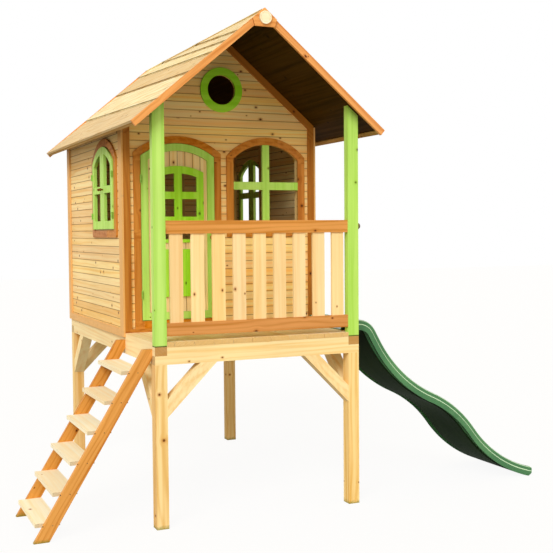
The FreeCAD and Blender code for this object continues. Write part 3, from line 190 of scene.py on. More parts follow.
# Stains: pale and deep wood, heartwood boards, knots and the ring round a knot, then the
# roughness, how far boards differ from one another, and the contrast of the grain
stains = {
    "pine": {
        "pale": (252, 222, 162),
        "deep": (232, 184, 106),
        "heart": (226, 168, 90),
        "knot": (98, 52, 16),
        "halo": (198, 122, 46),
        "rough": 0.56,
        "variety": 0.7,
        "grain": 1.2,
    },
    "beam": {
        "pale": (255, 236, 188),
        "deep": (248, 212, 150),
        "heart": (242, 196, 124),
        "knot": (104, 58, 20),
        "halo": (208, 138, 60),
        "rough": 0.56,
        "variety": 0.6,
        "grain": 1.1,
    },
    "pale pine": {
        "pale": (255, 250, 230),
        "deep": (255, 236, 198),
        "heart": (250, 220, 170),
        "knot": (110, 62, 26),
        "halo": (222, 156, 82),
        "rough": 0.55,
        "variety": 0.6,
        "grain": 0.9,
    },
    "slat": {
        "pale": (254, 224, 170),
        "deep": (246, 206, 144),
        "heart": (238, 184, 122),
        "knot": (96, 50, 20),
        "halo": (206, 132, 60),
        "rough": 0.55,
        "variety": 0.9,
        "grain": 0.6,
    },
    "honey": {
        "pale": (255, 230, 174),
        "deep": (244, 202, 134),
        "heart": (236, 182, 106),
        "knot": (78, 38, 12),
        "halo": (180, 108, 40),
        "rough": 0.5,
        "variety": 0.8,
        "grain": 1.1,
    },
    # A more saturated copy of honey, as painted shade for the front wall under the porch
    # roof; the back wall wears it too
    "shaded honey": {
        "pale": (255, 226, 156),
        "deep": (255, 202, 118),
        "heart": (250, 180, 90),
        "knot": (78, 38, 12),
        "halo": (180, 108, 40),
        "rough": 0.5,
        "variety": 0.7,
        "grain": 0.9,
    },
    # Darker than brown, as painted shade for the trims' fronts under the porch roof
    "trim": {
        "pale": (198, 128, 50),
        "deep": (168, 94, 26),
        "heart": (150, 76, 16),
        "knot": (72, 32, 8),
        "halo": (140, 70, 16),
        "rough": 0.46,
        "variety": 0.8,
        "grain": 1.0,
    },
    "rail": {
        "pale": (222, 158, 96),
        "deep": (194, 127, 62),
        "heart": (180, 108, 48),
        "knot": (84, 36, 12),
        "halo": (156, 82, 30),
        "rough": 0.48,
        "variety": 0.5,
        "grain": 1.4,
    },
    "eave": {
        "pale": (204, 164, 98),
        "deep": (172, 130, 66),
        "heart": (158, 114, 50),
        "knot": (72, 40, 14),
        "halo": (140, 94, 40),
        "rough": 0.55,
        "variety": 0.5,
        "grain": 1.2,
    },
    "brown": {
        "pale": (214, 144, 62),
        "deep": (184, 108, 34),
        "heart": (164, 86, 20),
        "knot": (72, 32, 8),
        "halo": (140, 70, 16),
        "rough": 0.46,
        "variety": 0.8,
        "grain": 1.0,
    },
    "stringer": {
        "pale": (228, 164, 88),
        "deep": (198, 124, 48),
        "heart": (182, 106, 34),
        "knot": (70, 30, 8),
        "halo": (150, 76, 20),
        "rough": 0.46,
        "variety": 0.5,
        "grain": 1.6,
    },
    "barge": {
        "pale": (244, 174, 100),
        "deep": (216, 136, 64),
        "heart": (204, 120, 52),
        "knot": (86, 38, 12),
        "halo": (160, 82, 26),
        "rough": 0.45,
        "variety": 0.5,
        "grain": 1.2,
    },
    "green": {
        "pale": (196, 237, 122),
        "deep": (172, 222, 92),
        "heart": (160, 211, 76),
        "knot": (88, 108, 24),
        "halo": (142, 182, 48),
        "rough": 0.42,
        "variety": 0.4,
        "grain": 0.5,
    },
    # A more saturated copy of the green paint, as painted shade for the parts under the
    # porch roof
    "shaded green": {
        "pale": (178, 242, 70),
        "deep": (152, 226, 42),
        "heart": (140, 214, 34),
        "knot": (72, 100, 16),
        "halo": (122, 176, 30),
        "rough": 0.42,
        "variety": 0.3,
        "grain": 0.4,
    },
    "roof": {
        "pale": (244, 230, 192),
        "deep": (224, 192, 134),
        "heart": (212, 172, 108),
        "knot": (104, 66, 30),
        "halo": (178, 130, 70),
        "rough": 0.62,
        "variety": 0.8,
        "grain": 1.5,
    },
    "umber": {
        "pale": (134, 88, 34),
        "deep": (96, 58, 18),
        "heart": (84, 50, 14),
        "knot": (40, 22, 8),
        "halo": (74, 42, 12),
        "rough": 0.5,
        "variety": 0.6,
        "grain": 0.9,
    },
    # Near-black brown, partly a dark stain and partly painted shade for the roof's
    # underside
    "dark": {
        "pale": (74, 50, 8),
        "deep": (52, 34, 4),
        "heart": (44, 28, 3),
        "knot": (26, 14, 4),
        "halo": (38, 22, 6),
        "rough": 0.7,
        "variety": 0.6,
        "grain": 0.8,
    },
}

# What the lots that are drawn once for each board do to its grain and colour
boardLook = {
    "cellMiddle": 0.5,
    "seedOver": 1.7,
    "lotAlong": 37.0,
    "lotOver": 11.0,
    "heartFrom": 0.55,
    "heartShare": 0.6,
    "heartMost": 1.3,
    "darker": 0.085,
    "lighter": 0.05,
    "hueMiddle": 0.5,
    "hueTurn": 0.006,
    "richer": 0.08,
    "cloud": {"scale": 2.3, "detail": 3.0},
    "cloudDark": 0.955,
    "cloudLight": 1.04,
}

# The grain: counts per metre along and over the fibres, and each part's share in the tone
grainLook = {
    "bandAlong": 0.7,
    "bandOver": 36.0,
    "bandTexture": {"detail": 3.0, "rough": 0.55},
    "bandTone": 1.9,
    "toneStart": -0.42,
    "wanderAlong": 0.9,
    "wanderOver": 5.0,
    "wanderTurn": 26.0,
    "lineOver": 32.5,
    "linePower": 2.2,
    "lineTone": -0.26,
    "lineHeight": -0.35,
    "fibreAlong": 7.0,
    "fibreOver": 330.0,
    "fibreRough": 0.6,
    "fibreTone": 0.34,
    "fibreHeight": 0.5,
    "deepUnder": 0.1,
    "paleOver": 0.95,
    "roughDeep": 0.07,
    "roughPale": -0.04,
    "specular": 0.08,
    "bump": 0.0011,
    "bumpStrength": 0.45,
}

# Knots: cells per metre, sizes in metres, and reaches in radii from outside to inside
knotLook = {
    "along": 3.4,
    "over": 9.0,
    "share": 0.6,
    "small": 0.0022,
    "large": 0.0068,
    "squash": 0.72,
    "coreReach": (1.15, 0.65),
    "coreShare": 0.9,
    "coreHeight": -0.5,
    "haloReach": (2.6, 0.9),
    "haloShare": 0.55,
    "pullReach": (7.0, 0.8),
    "pull": -0.62,
}

# End grain: rings about a pith that lies below the board, on faces turned along the run
endLook = {
    "facing": (0.8, 0.9),
    "pithOver": 0.013,
    "pithDeep": 0.04,
    "rings": 900.0,
    "waverScale": 40.0,
    "waver": 3.0,
    "cut": 0.84,
    "ringDark": 0.78,
    "ringPale": 1.1,
    "ringLow": 0.1,
    "ringHigh": 0.8,
    "share": 0.85,
    "brightest": 255,
}

# The joints of lapped roof boards, as shares of the slope at the front and back ends.
# Boards on the other slope are numbered from otherSlope on
roofLaps = {
    "front": (0.192, 0.431, 0.609, 0.712, 0.804, 1.06),
    "back": (0.380, 0.683, 0.910, 1.056, 1.187, 1.38),
    "slopeLength": 1.018,
    "frontY": -1.1185,
    "backY": 1.1305,
    "eaveOut": 0.779,
    "otherSlope": 20,
    "width": 0.0045,
    "depth": 0.85,
    "darkLine": (84, 60, 28),
    "greyPatch": {"scale": 5.0, "detail": 4.0, "rough": 0.6},
    "greyReach": (0.48, 0.75),
    "greyShare": 0.28,
    "grey": (190, 178, 154),
}

# The sawn feet, painted shade under the posts, light roof panel edges, painted light on
# side trims
footLook = {
    "scale": 60.0,
    "climb": 0.03,
    "reach": (0.042, 0.012),
    "share": 0.7,
    "damp": (112, 124, 44),
}
# A painted shade line along the joint under the posts' feet
footShadeLook = {"reach": (0.009, 0.003), "share": 0.9, "darkLine": (36, 34, 10)}
edgeFacing = (0.7, 0.74)
# Painted light on the trims' side faces: where they lie and how much of the paler tone
# they take
sideLightLook = {"out": 0.641, "share": 0.74}


# How many joints lie below a point up the slope, and how far away the nearest one is.
# A joint at share f in front and b behind lies at f + (b - f) * t, with t along the roof
def roofBoardNumber(tree, spot):
    axes = separate(tree, spot)
    out = calc(tree, "SUBTRACT", axes[0], houseMiddle[0])
    run = calc(tree, "SUBTRACT", roofLaps["eaveOut"], calc(tree, "ABSOLUTE", out))
    up = calc(tree, "DIVIDE", run, roofLaps["slopeLength"] * math.cos(roofSlope))
    t = spread(tree, axes[1], roofLaps["frontY"], roofLaps["backY"], 0, 1)
    far = calc(tree, "GREATER_THAN", out, 0)
    number = calc(tree, "MULTIPLY", far, roofLaps["otherSlope"])
    nearest = 1.0
    for front, back in zip(roofLaps["front"], roofLaps["back"]):
        joint = calc(tree, "MULTIPLY_ADD", t, back - front, front)
        number = calc(tree, "ADD", number, calc(tree, "GREATER_THAN", up, joint))
        gap = calc(tree, "ABSOLUTE", calc(tree, "SUBTRACT", up, joint))
        nearest = calc(tree, "MINIMUM", gap, nearest)
    return number, nearest


# Boards lie in cells, floor((place - start) / cell), and each cell draws its own lots
def drawLots(tree, raw, cell, start, seed, number):
    middle = boardLook["cellMiddle"]
    scale = [1 / size if size else 0.0 for size in cell]
    offset = [-first * s + middle * (s == 0) for first, s in zip(start, scale)]
    which = vector(tree, "FLOOR", vector(tree, "MULTIPLY_ADD", raw, scale, offset))
    if number is not None:
        which = vector(tree, "ADD", which, combine(tree, number))
    seeds = (seed, seed * boardLook["seedOver"], middle)
    which = vector(tree, "ADD", which, seeds)
    chance = addNode(
        tree, "ShaderNodeTexWhiteNoise", {"Vector": which}, noise_dimensions="3D"
    )
    lots = addNode(tree, "ShaderNodeSeparateColor", {0: chance.outputs["Color"]})
    return chance.outputs["Value"], lots.outputs


# How far a point lies along the fibres, over them and into the board.
# Between low and high on an axis listed in turned, another pair of directions holds
def fibrePlace(tree, spot, axes, run, side, turned):
    def measure(along, over):
        deep = Vector(along).cross(Vector(over))
        return [
            vector(tree, "DOT_PRODUCT", spot, tuple(Vector(axis).normalized()))
            for axis in (along, over, deep)
        ]

    place = measure(run, side)
    for axis, low, high, otherRun, otherSide in turned:
        above = calc(tree, "GREATER_THAN", axes[axis], low)
        here = calc(tree, "MULTIPLY", above, calc(tree, "LESS_THAN", axes[axis], high))
        keep = calc(tree, "SUBTRACT", 1.0, here)
        place = [
            calc(tree, "MULTIPLY_ADD", mine, keep, calc(tree, "MULTIPLY", other, here))
            for mine, other in zip(place, measure(otherRun, otherSide))
        ]
    return place


# Knots: the nearest centre of a 2-D grid, as ratio = distance in metres / radius.
# The fibres bend round it: bent = over + pull * how far over its centre they lie
def knotField(tree, along, over, knots):
    look = knotLook
    grid = combine(
        tree,
        calc(tree, "MULTIPLY", along, look["along"]),
        calc(tree, "MULTIPLY", over, look["over"]),
    )
    cells = addNode(
        tree,
        "ShaderNodeTexVoronoi",
        {"Vector": grid, "Scale": 1.0},
        voronoi_dimensions="2D",
        feature="F1",
    )
    away = vector(
        tree,
        "MULTIPLY",
        vector(tree, "SUBTRACT", grid, cells.outputs["Position"]),
        (look["squash"] / look["along"], 1 / look["over"], 0.0),
    )
    lot = addNode(tree, "ShaderNodeSeparateColor", {0: cells.outputs["Color"]}).outputs
    present = calc(tree, "GREATER_THAN", lot[0], 1 - look["share"] * knots)
    radius = spread(tree, lot[1], 0, 1, look["small"], look["large"])
    ratio = calc(tree, "DIVIDE", vector(tree, "LENGTH", away), radius)
    core, halo, pull = [
        calc(tree, "MULTIPLY", fade(tree, ratio, *look[reach]), present)
        for reach in ("coreReach", "haloReach", "pullReach")
    ]
    pulled = calc(tree, "MULTIPLY", pull, look["pull"])
    bent = calc(tree, "MULTIPLY_ADD", pulled, separate(tree, away)[1], over)
    return core, halo, bent


# tone = start + share * bands + share * growth lines + share * fibres, where growth lines
# are ((1 + sin phase) / 2) ^ power and phase = turn * wander + 2 pi * lines * over
def grainField(tree, along, bent, deep, strength):
    look = grainLook

    def field(alongScale, overScale, **texture):
        where = combine(
            tree,
            calc(tree, "MULTIPLY", along, alongScale),
            calc(tree, "MULTIPLY", bent, overScale),
            calc(tree, "MULTIPLY", deep, overScale),
        )
        return noise(tree, where, 1.0, **texture)

    band = field(look["bandAlong"], look["bandOver"], **look["bandTexture"])
    wander = field(look["wanderAlong"], look["wanderOver"])
    fibre = field(look["fibreAlong"], look["fibreOver"], rough=look["fibreRough"])
    turns = calc(tree, "MULTIPLY", bent, 2 * math.pi * look["lineOver"])
    phase = calc(tree, "MULTIPLY_ADD", wander, look["wanderTurn"], turns)
    wave = calc(tree, "MULTIPLY_ADD", calc(tree, "SINE", phase), 0.5, 0.5)
    line = calc(tree, "POWER", wave, look["linePower"])
    tone = calc(tree, "MULTIPLY_ADD", band, look["bandTone"], look["toneStart"])
    tone = calc(tree, "MULTIPLY_ADD", line, look["lineTone"] * strength, tone)
    tone = calc(tree, "MULTIPLY_ADD", fibre, look["fibreTone"] * strength, tone)
    return tone, line, fibre


# The stain goes from deep to pale with the tone. The board's lots mix in heartwood, then
# shift hue, saturation and value about their middles by the stain's variety
def stainColour(tree, raw, stain, tone, chance, lots):
    look = boardLook
    variety = stain["variety"]
    share = fade(tree, tone, grainLook["deepUnder"], grainLook["paleOver"])
    colour = mixPaint(tree, share, paint(*stain["deep"]), paint(*stain["pale"]))
    hearty = fade(tree, lots[2], look["heartFrom"], 1.0)
    most = look["heartShare"] * min(variety, look["heartMost"])
    colour = coat(tree, colour, hearty, most, stain["heart"])
    value = spread(
        tree, chance, 0, 1, 1 - look["darker"] * variety, 1 + look["lighter"] * variety
    )
    cloud = noise(tree, raw, **look["cloud"])
    cloud = spread(tree, cloud, *noiseRange, look["cloudDark"], look["cloudLight"])
    turn, richer = look["hueTurn"] * variety, look["richer"] * variety
    middle = look["hueMiddle"]
    shift = addNode(
        tree,
        "ShaderNodeHueSaturation",
        {
            "Hue": spread(tree, lots[0], 0, 1, middle - turn, middle + turn),
            "Saturation": spread(tree, lots[1], 0, 1, 1 - richer, 1 + richer),
            "Value": calc(tree, "MULTIPLY", value, cloud),
            "Color": colour,
        },
    )
    return shift.outputs[0]


# Rings = sin(waver + rings * distance to the pith), where the surface faces along the run
def sawnEnds(tree, colour, raw, normal, run, over, deep, cut):
    look = endLook
    facing = vector(tree, "DOT_PRODUCT", normal, tuple(Vector(run).normalized()))
    sawn = fade(tree, calc(tree, "ABSOLUTE", facing), *look["facing"])
    pith = combine(
        tree,
        calc(tree, "ADD", over, look["pithOver"]),
        calc(tree, "ADD", deep, look["pithDeep"]),
    )
    reach = calc(tree, "MULTIPLY", vector(tree, "LENGTH", pith), look["rings"])
    waver = noise(tree, raw, look["waverScale"])
    rings = calc(tree, "SINE", calc(tree, "MULTIPLY_ADD", waver, look["waver"], reach))
    ringed = mixPaint(
        tree,
        spread(tree, rings, -1, 1, look["ringLow"], look["ringHigh"]),
        paint(*[look["ringDark"] * share for share in cut]),
        paint(*[min(look["ringPale"] * share, look["brightest"]) for share in cut]),
    )
    return mixPaint(tree, calc(tree, "MULTIPLY", sawn, look["share"]), colour, ringed)


# Dirt lies in the joints: the distance to the nearest of those at start + k * pitch
def jointDirt(tree, colour, axes, joint):
    past = calc(tree, "SUBTRACT", axes[joint["axis"]], joint["start"])
    steps = calc(tree, "DIVIDE", past, joint["pitch"])
    share = calc(tree, "SUBTRACT", steps, calc(tree, "ROUND", steps))
    gap = calc(tree, "MULTIPLY", calc(tree, "ABSOLUTE", share), joint["pitch"])
    dirty = fade(tree, gap, joint["width"], 0.0)
    return coat(tree, colour, dirty, joint["depth"], joint["darkLine"])


# Dirt in the laps, and patches that the weather has turned grey
def roofWear(tree, colour, raw, nearest):
    look = roofLaps
    dirty = fade(tree, nearest, look["width"], 0.0)
    colour = coat(tree, colour, dirty, look["depth"], look["darkLine"])
    grey = fade(tree, noise(tree, raw, **look["greyPatch"]), *look["greyReach"])
    return coat(tree, colour, grey, look["greyShare"], look["grey"])


# A stained piece. The fibres run along run and lie side by side along side. cell and
# start set out its boards, and fold mirrors it about a point. The notes here and above
# say what turned, joint, roof, feet, sole, ends, edges and sides add
def woodFinish(
    name,
    stainName,
    run,
    side,
    cell=(0, 0, 0),
    start=(0, 0, 0),
    fold=None,
    turned=(),
    joint=None,
    roof=False,
    feet=False,
    sole=None,
    ends=None,
    edges=None,
    sides=None,
    knots=1.0,
    seed=0.0,
):
    stain = stains[stainName]
    look = grainLook
    material, tree, shader = newMaterial(name)
    place = addNode(tree, "ShaderNodeTexCoord")
    raw, normal = place.outputs["Object"], place.outputs["Normal"]
    axes = separate(tree, raw)
    number, nearest = roofBoardNumber(tree, raw) if roof else (None, None)
    chance, lots = drawLots(tree, raw, cell, start, seed, number)
    spot = raw
    if fold:
        spot = vector(tree, "ABSOLUTE", vector(tree, "SUBTRACT", raw, fold))
    along, over, deep = fibrePlace(tree, spot, axes, run, side, turned)
    along = calc(tree, "MULTIPLY_ADD", lots[0], boardLook["lotAlong"], along)
    over = calc(tree, "MULTIPLY_ADD", lots[1], boardLook["lotOver"], over)
    core, halo, bent = knotField(tree, along, over, knots)
    tone, line, fibre = grainField(tree, along, bent, deep, stain["grain"])
    colour = stainColour(tree, raw, stain, tone, chance, lots)
    colour = coat(tree, colour, halo, knotLook["haloShare"], stain["halo"])
    colour = coat(tree, colour, core, knotLook["coreShare"], stain["knot"])
    if not turned and not fold:
        cut = ends or [endLook["cut"] * share for share in stain["deep"]]
        colour = sawnEnds(tree, colour, raw, normal, run, over, deep, cut)
    if joint:
        colour = jointDirt(tree, colour, axes, joint)
    if roof:
        colour = roofWear(tree, colour, raw, nearest)
    if edges:
        # The long edges, which face across the ridge, keep a light wood tone beside the
        # dark faces
        across = calc(tree, "ABSOLUTE", separate(tree, normal)[0])
        colour = coat(tree, colour, fade(tree, across, *edgeFacing), 1.0, edges)
    if feet:
        # The sawn foot stays damp: a slightly green edge that climbs unevenly
        waver = noise(tree, raw, footLook["scale"])
        climb = calc(tree, "MULTIPLY_ADD", waver, footLook["climb"], axes[2])
        damp = fade(tree, climb, *footLook["reach"])
        colour = coat(tree, colour, damp, footLook["share"], footLook["damp"])
    if sides:
        # Painted light: trim faces outside the walls' planes, on the side walls, take a
        # paler tone
        out = calc(tree, "ABSOLUTE", calc(tree, "SUBTRACT", axes[0], houseMiddle[0]))
        litSide = calc(tree, "GREATER_THAN", out, sideLightLook["out"])
        colour = coat(tree, colour, litSide, sideLightLook["share"], sides)
    if sole is not None:
        # Painted shade: a dark line along the joint under the post's foot
        above = calc(tree, "SUBTRACT", axes[2], sole)
        footShade = fade(tree, above, *footShadeLook["reach"])
        colour = coat(tree, colour, footShade, footShadeLook["share"], footShadeLook["darkLine"])
    plug(tree, shader.inputs["Base Color"], colour)
    deepRough = stain["rough"] + look["roughDeep"]
    paleRough = stain["rough"] + look["roughPale"]
    plug(tree, shader.inputs["Roughness"], spread(tree, tone, 0, 1, deepRough, paleRough))
    shader.inputs["Specular IOR Level"].default_value = look["specular"]
    height = calc(tree, "MULTIPLY", line, look["lineHeight"])
    height = calc(tree, "MULTIPLY_ADD", fibre, look["fibreHeight"], height)
    height = calc(tree, "MULTIPLY_ADD", core, knotLook["coreHeight"], height)
    raiseSurface(tree, shader, height, look["bumpStrength"], look["bump"])
    return material


# Where each row of boards starts and how wide a board's place is, as in the frame
boardPlaces = {
    "wall": {"pitch": 0.0495, "start": 1.0235},
    "door": {"pitch": 0.0495, "start": houseLeft + 0.3465},
    "deck": {"pitch": 0.11664, "start": houseLeft - 0.0015},
    "slat": {"pitch": 0.1264, "start": houseLeft + 0.0713},
    "treads": {"pitch": 0.158, "start": 0.022},
}

wallJoint = {
    "axis": 2,
    "start": boardPlaces["wall"]["start"],
    "pitch": boardPlaces["wall"]["pitch"],
    "width": 0.0042,
    "depth": 0.75,
    "darkLine": (120, 72, 28),
}
doorJoint = dict(wallJoint, axis=0, start=boardPlaces["door"]["start"])

# Heights between which a trim's boards lie flat, or along the roof's slope
lying = {
    "foot boards": (0.9, 1.0675),
    "gable boards": (2.25, 3.0),
    "door sill": (0.9, 1.1145),
    "window sills": (1.6, 1.672),
    "arches": (2.09, 2.4),
}


# The cells of one row of boards along an axis
def rowCell(axis, key):
    cell = [0, 0, 0]
    start = [0, 0, 0]
    cell[axis] = boardPlaces[key]["pitch"]
    start[axis] = boardPlaces[key]["start"]
    return {"cell": tuple(cell), "start": tuple(start)}


# Cells that part the platform in two across and two along
quarters = {"cell": (houseHalf, 1.04, 0), "start": (houseLeft, -1.057, 0)}
greenCells = {"cell": (0.21, 0.3, 0), "start": (houseLeft - 0.122, -0.6, 0)}

dress(
    woodFinish("pine_legs", "pine", zAxis, sideways, feet=True, **quarters),
    "leg_front_left",
    "leg_front_right",
    "leg_back_left",
    "leg_back_right",
)
dress(
    woodFinish("pine_cross_beams", "beam", xAxis, zAxis, cell=(0, 1.04, 0), seed=3),
    "beam_front",
    "beam_back",
    "deck_joists",
)
dress(
    woodFinish(
        "pine_side_beams",
        "beam",
        yAxis,
        zAxis,
        cell=(houseHalf, 0, 0),
        ends=(192, 136, 66),
        seed=5,
    ),
    "beam_left",
    "beam_right",
)
dress(
    woodFinish(
        "pine_braces",
        "beam",
        (-1, -1, 1),
        (1, 1, 1),
        cell=(houseHalf, 0.7, 0),
        start=(houseLeft, -1.057, 0),
        fold=houseMiddle,
        knots=0.7,
        seed=8,
    ),
    "knee_braces",
)
dress(
    woodFinish(
        "pine_deck",
        "beam",
        yAxis,
        xAxis,
        ends=(238, 190, 122),
        seed=2,
        **rowCell(0, "deck"),
    ),
    "deck_boards",
)
dress(woodFinish("pine_studs", "pine", zAxis, xAxis, seed=4), "wall_studs")
dress(
    woodFinish("pine_slats", "slat", zAxis, xAxis, seed=12, **rowCell(0, "slat")),
    "railing_slats",
)
dress(
    woodFinish(
        "pine_treads",
        "pale pine",
        yAxis,
        xAxis,
        knots=0.6,
        seed=14,
        **rowCell(2, "treads"),
    ),
    "ladder_treads",
)
dress(
    woodFinish(
        "brown_stringers",
        "stringer",
        ladderUp,
        ladderOver,
        cell=(0, 0.3, 0),
        feet=True,
        knots=1.3,
        seed=31,
    ),
    "ladder_stringers",
)
dress(
    woodFinish("pine_cleats", "brown", xAxis, zAxis, seed=15, **rowCell(2, "treads")),
    "ladder_cleats",
)
dress(woodFinish("pine_disc", "pale pine", xAxis, zAxis, knots=0.0), "ridge_disc")
# The front and back walls take the saturated copy of honey, which is painted shade
dress(
    woodFinish(
        "siding_front",
        "shaded honey",
        xAxis,
        zAxis,
        joint=wallJoint,
        knots=1.5,
        seed=6,
        **rowCell(2, "wall"),
    ),
    "cladding_front",
    "cladding_front_notched",
    "cladding_back",
)
dress(
    woodFinish(
        "siding_sides",
        "honey",
        yAxis,
        zAxis,
        joint=wallJoint,
        knots=1.5,
        seed=9,
        **rowCell(2, "wall"),
    ),
    "cladding_left",
    "cladding_right",
)
dress(
    woodFinish(
        "siding_door",
        "honey",
        zAxis,
        xAxis,
        joint=doorJoint,
        seed=7,
        **rowCell(0, "door"),
    ),
    "door_boards",
)
# The door's panels and window frame take the shaded copy of the green paint, which is
# painted shade
dress(
    woodFinish(
        "green_panels", "shaded green", zAxis, xAxis, seed=17, **rowCell(0, "door")
    ),
    "door_panels",
    "door_window_frame",
)
dress(
    woodFinish(
        "brown_trims",
        "trim",
        zAxis,
        sideways,
        cell=(houseHalf, 0.7, 0),
        start=(houseLeft, -0.6, 0),
        fold=houseMiddle,
        turned=(
            (2, *lying["foot boards"], sideways, zAxis),
            (2, *lying["gable boards"], slopeDown, slopeOver),
        ),
        # Painted light: the paler tone for the trims' faces on the side walls
        sides=(246, 198, 130),
        seed=3,
    ),
    "wall_trims",
)
dress(
    woodFinish(
        "brown_casings",
        "brown",
        zAxis,
        sideways,
        cell=(0.45, 0.5, 0),
        start=(houseLeft + 0.122, -0.6, 0),
        turned=(
            (2, *lying["door sill"], sideways, zAxis),
            (2, *lying["window sills"], sideways, zAxis),
            (2, *lying["arches"], sideways, zAxis),
        ),
        seed=4,
    ),
    "door_casing",
    "front_window_casing",
    "side_window_casings",
)
dress(
    woodFinish("brown_rails", "rail", xAxis, zAxis, cell=(0, 0, 0.3), seed=11),
    "railing_rails",
)
dress(
    woodFinish(
        "barge_front_back",
        "barge",
        slopeDown,
        slopeOver,
        cell=(0.78, 1.0, 0),
        start=(houseLeft - 0.14, -1.2, 0),
        fold=houseMiddle,
        seed=13,
    ),
    "barge_boards",
)
dress(
    woodFinish("barge_plates", "barge", xAxis, zAxis, cell=(0, 1.0, 0), seed=16),
    "ridge_plates",
)
dress(
    woodFinish(
        "green_posts",
        "green",
        zAxis,
        sideways,
        cell=(houseHalf, 0, 0),
        sole=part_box("porch_posts")[0].z,
        seed=1,
    ),
    "porch_posts",
)
dress(
    woodFinish("green_frames", "green", zAxis, sideways, seed=2, **greenCells),
    "door_border",
    "front_window_bars",
    "leaf_left_front",
    "leaf_left_back",
    "leaf_right_front",
    "leaf_right_back",
)
# The ring takes the shaded copy of the green paint, which is painted shade
dress(
    woodFinish("green_ring", "shaded green", xAxis, zAxis, knots=0.0, seed=18),
    "round_window_ring",
)
dress(
    woodFinish("roof_lapped", "roof", (0, 1, -0.11), xAxis, roof=True, seed=21),
    "roof_boards_left",
    "roof_boards_right",
)
dress(
    woodFinish("eave_edges", "eave", yAxis, zAxis, cell=(0.7, 0, 0), seed=22),
    "eave_battens",
)
# The roof panels' underside: a dark stain that is partly painted shade
dress(
    woodFinish(
        "roof_underside",
        "dark",
        yAxis,
        xAxis,
        cell=(0.14, 0, 0),
        edges=(170, 132, 72),
        seed=23,
    ),
    "roof_panels",
)
dress(
    woodFinish("brown_knobs", "brown", xAxis, zAxis, knots=0.0, seed=24),
    "door_knob",
)
dress(
    woodFinish("umber_knobs", "umber", xAxis, zAxis, knots=0.0, seed=25),
    "leaf_knob_left_front",
    "leaf_knob_left_back",
    "leaf_knob_right_front",
    "leaf_knob_right_back",
)
print("stained wood done")

slideLook = {
    "deep": (58, 116, 70),
    "fresh": (84, 142, 90),
    "cloud": {"scale": 3.0, "detail": 4.0, "rough": 0.6},
    "cloudReach": (0.35, 0.7),
    "dust": (146, 186, 150),
    "scuffStretch": (5.0, 140.0, 5.0),
    "scuff": {"scale": 1.0, "detail": 3.0, "rough": 0.7},
    "scuffReach": (0.6, 0.82),
    "scuffShare": 0.35,
    # The rims' painted highlight
    "edge": (214, 246, 214),
    "edgeFrom": (0.5, 0.62),
    "edgeTo": (0.9, 0.78),
    "edgeUp": (0.15, 0.4),
    "edgeShare": 0.85,
    # The underside's painted shade, a near black green
    "under": (26, 44, 16),
    "underDeep": (16, 34, 12),
    "underFacing": (-0.15, -0.4),
    "rough": 0.26,
    "roughRange": (0.3, 0.8),
    "roughMore": 0.16,
    "roughUnder": 0.5,
    "gloss": 0.5,
    "glossUnder": -0.42,
    "peelScale": 260.0,
    "peelStrength": 0.25,
    "peel": 0.0004,
}


# Moulded plastic: a cloudy body colour, fine scuffs that run down the slide, a painted
# highlight where the rims turn over, painted shade on a duller underside, and a slight
# orange peel
def slidePlastic():
    look = slideLook
    material, tree, shader = newMaterial("slide_green")
    place = addNode(tree, "ShaderNodeTexCoord")
    raw = place.outputs["Object"]
    cloud = noise(tree, raw, **look["cloud"])
    share = fade(tree, cloud, *look["cloudReach"])
    colour = mixPaint(tree, share, paint(*look["deep"]), paint(*look["fresh"]))
    stretched = vector(tree, "MULTIPLY", raw, look["scuffStretch"])
    scuffs = noise(tree, stretched, **look["scuff"])
    worn = fade(tree, scuffs, *look["scuffReach"])
    colour = coat(tree, colour, worn, look["scuffShare"], look["dust"])
    # Painted highlight: a near white green on the rims' shoulders, which face sideways
    # and up
    facing = separate(tree, place.outputs["Normal"])
    out = calc(tree, "ABSOLUTE", facing[1])
    highlightShare = fade(tree, out, *look["edgeFrom"])
    highlightShare = calc(tree, "MULTIPLY", highlightShare, fade(tree, out, *look["edgeTo"]))
    highlightShare = calc(tree, "MULTIPLY", highlightShare, fade(tree, facing[2], *look["edgeUp"]))
    colour = coat(tree, colour, highlightShare, look["edgeShare"], look["edge"])
    # Painted shade: faces turned down take the near black green, which is also rougher
    # and less glossy
    below = fade(tree, facing[2], *look["underFacing"])
    share = fade(tree, cloud, *noiseRange)
    shadeColour = mixPaint(tree, share, paint(*look["underDeep"]), paint(*look["under"]))
    colour = mixPaint(tree, below, colour, shadeColour)
    plug(tree, shader.inputs["Base Color"], colour)
    most = look["rough"] + look["roughMore"]
    rough = spread(tree, scuffs, *look["roughRange"], look["rough"], most)
    rough = calc(tree, "MULTIPLY_ADD", below, look["roughUnder"], rough)
    plug(tree, shader.inputs["Roughness"], rough)
    gloss = calc(tree, "MULTIPLY_ADD", below, look["glossUnder"], look["gloss"])
    plug(tree, shader.inputs["Specular IOR Level"], gloss)
    peel = noise(tree, raw, look["peelScale"])
    raiseSurface(tree, shader, peel, look["peelStrength"], look["peel"])
    return material


steelLook = {
    "patch": {"scale": 90.0, "detail": 4.0, "rough": 0.7},
    "patchReach": (0.35, 0.7),
    "roughMore": 0.2,
    "bumpStrength": 0.2,
    "bump": 0.0002,
}


# Zinc or thick paint: a fine spangle between dull and bright, rougher where it is bright
def zincSteel(name, bright, dull, rough, metal=1.0):
    look = steelLook
    material, tree, shader = newMaterial(name)
    raw = addNode(tree, "ShaderNodeTexCoord").outputs["Object"]
    patch = noise(tree, raw, **look["patch"])
    share = fade(tree, patch, *look["patchReach"])
    colour = mixPaint(tree, share, paint(*dull), paint(*bright))
    plug(tree, shader.inputs["Base Color"], colour)
    roughness = spread(tree, patch, *noiseRange, rough, rough + look["roughMore"])
    plug(tree, shader.inputs["Roughness"], roughness)
    shader.inputs["Metallic"].default_value = metal
    raiseSurface(tree, shader, patch, look["bumpStrength"], look["bump"])
    return material


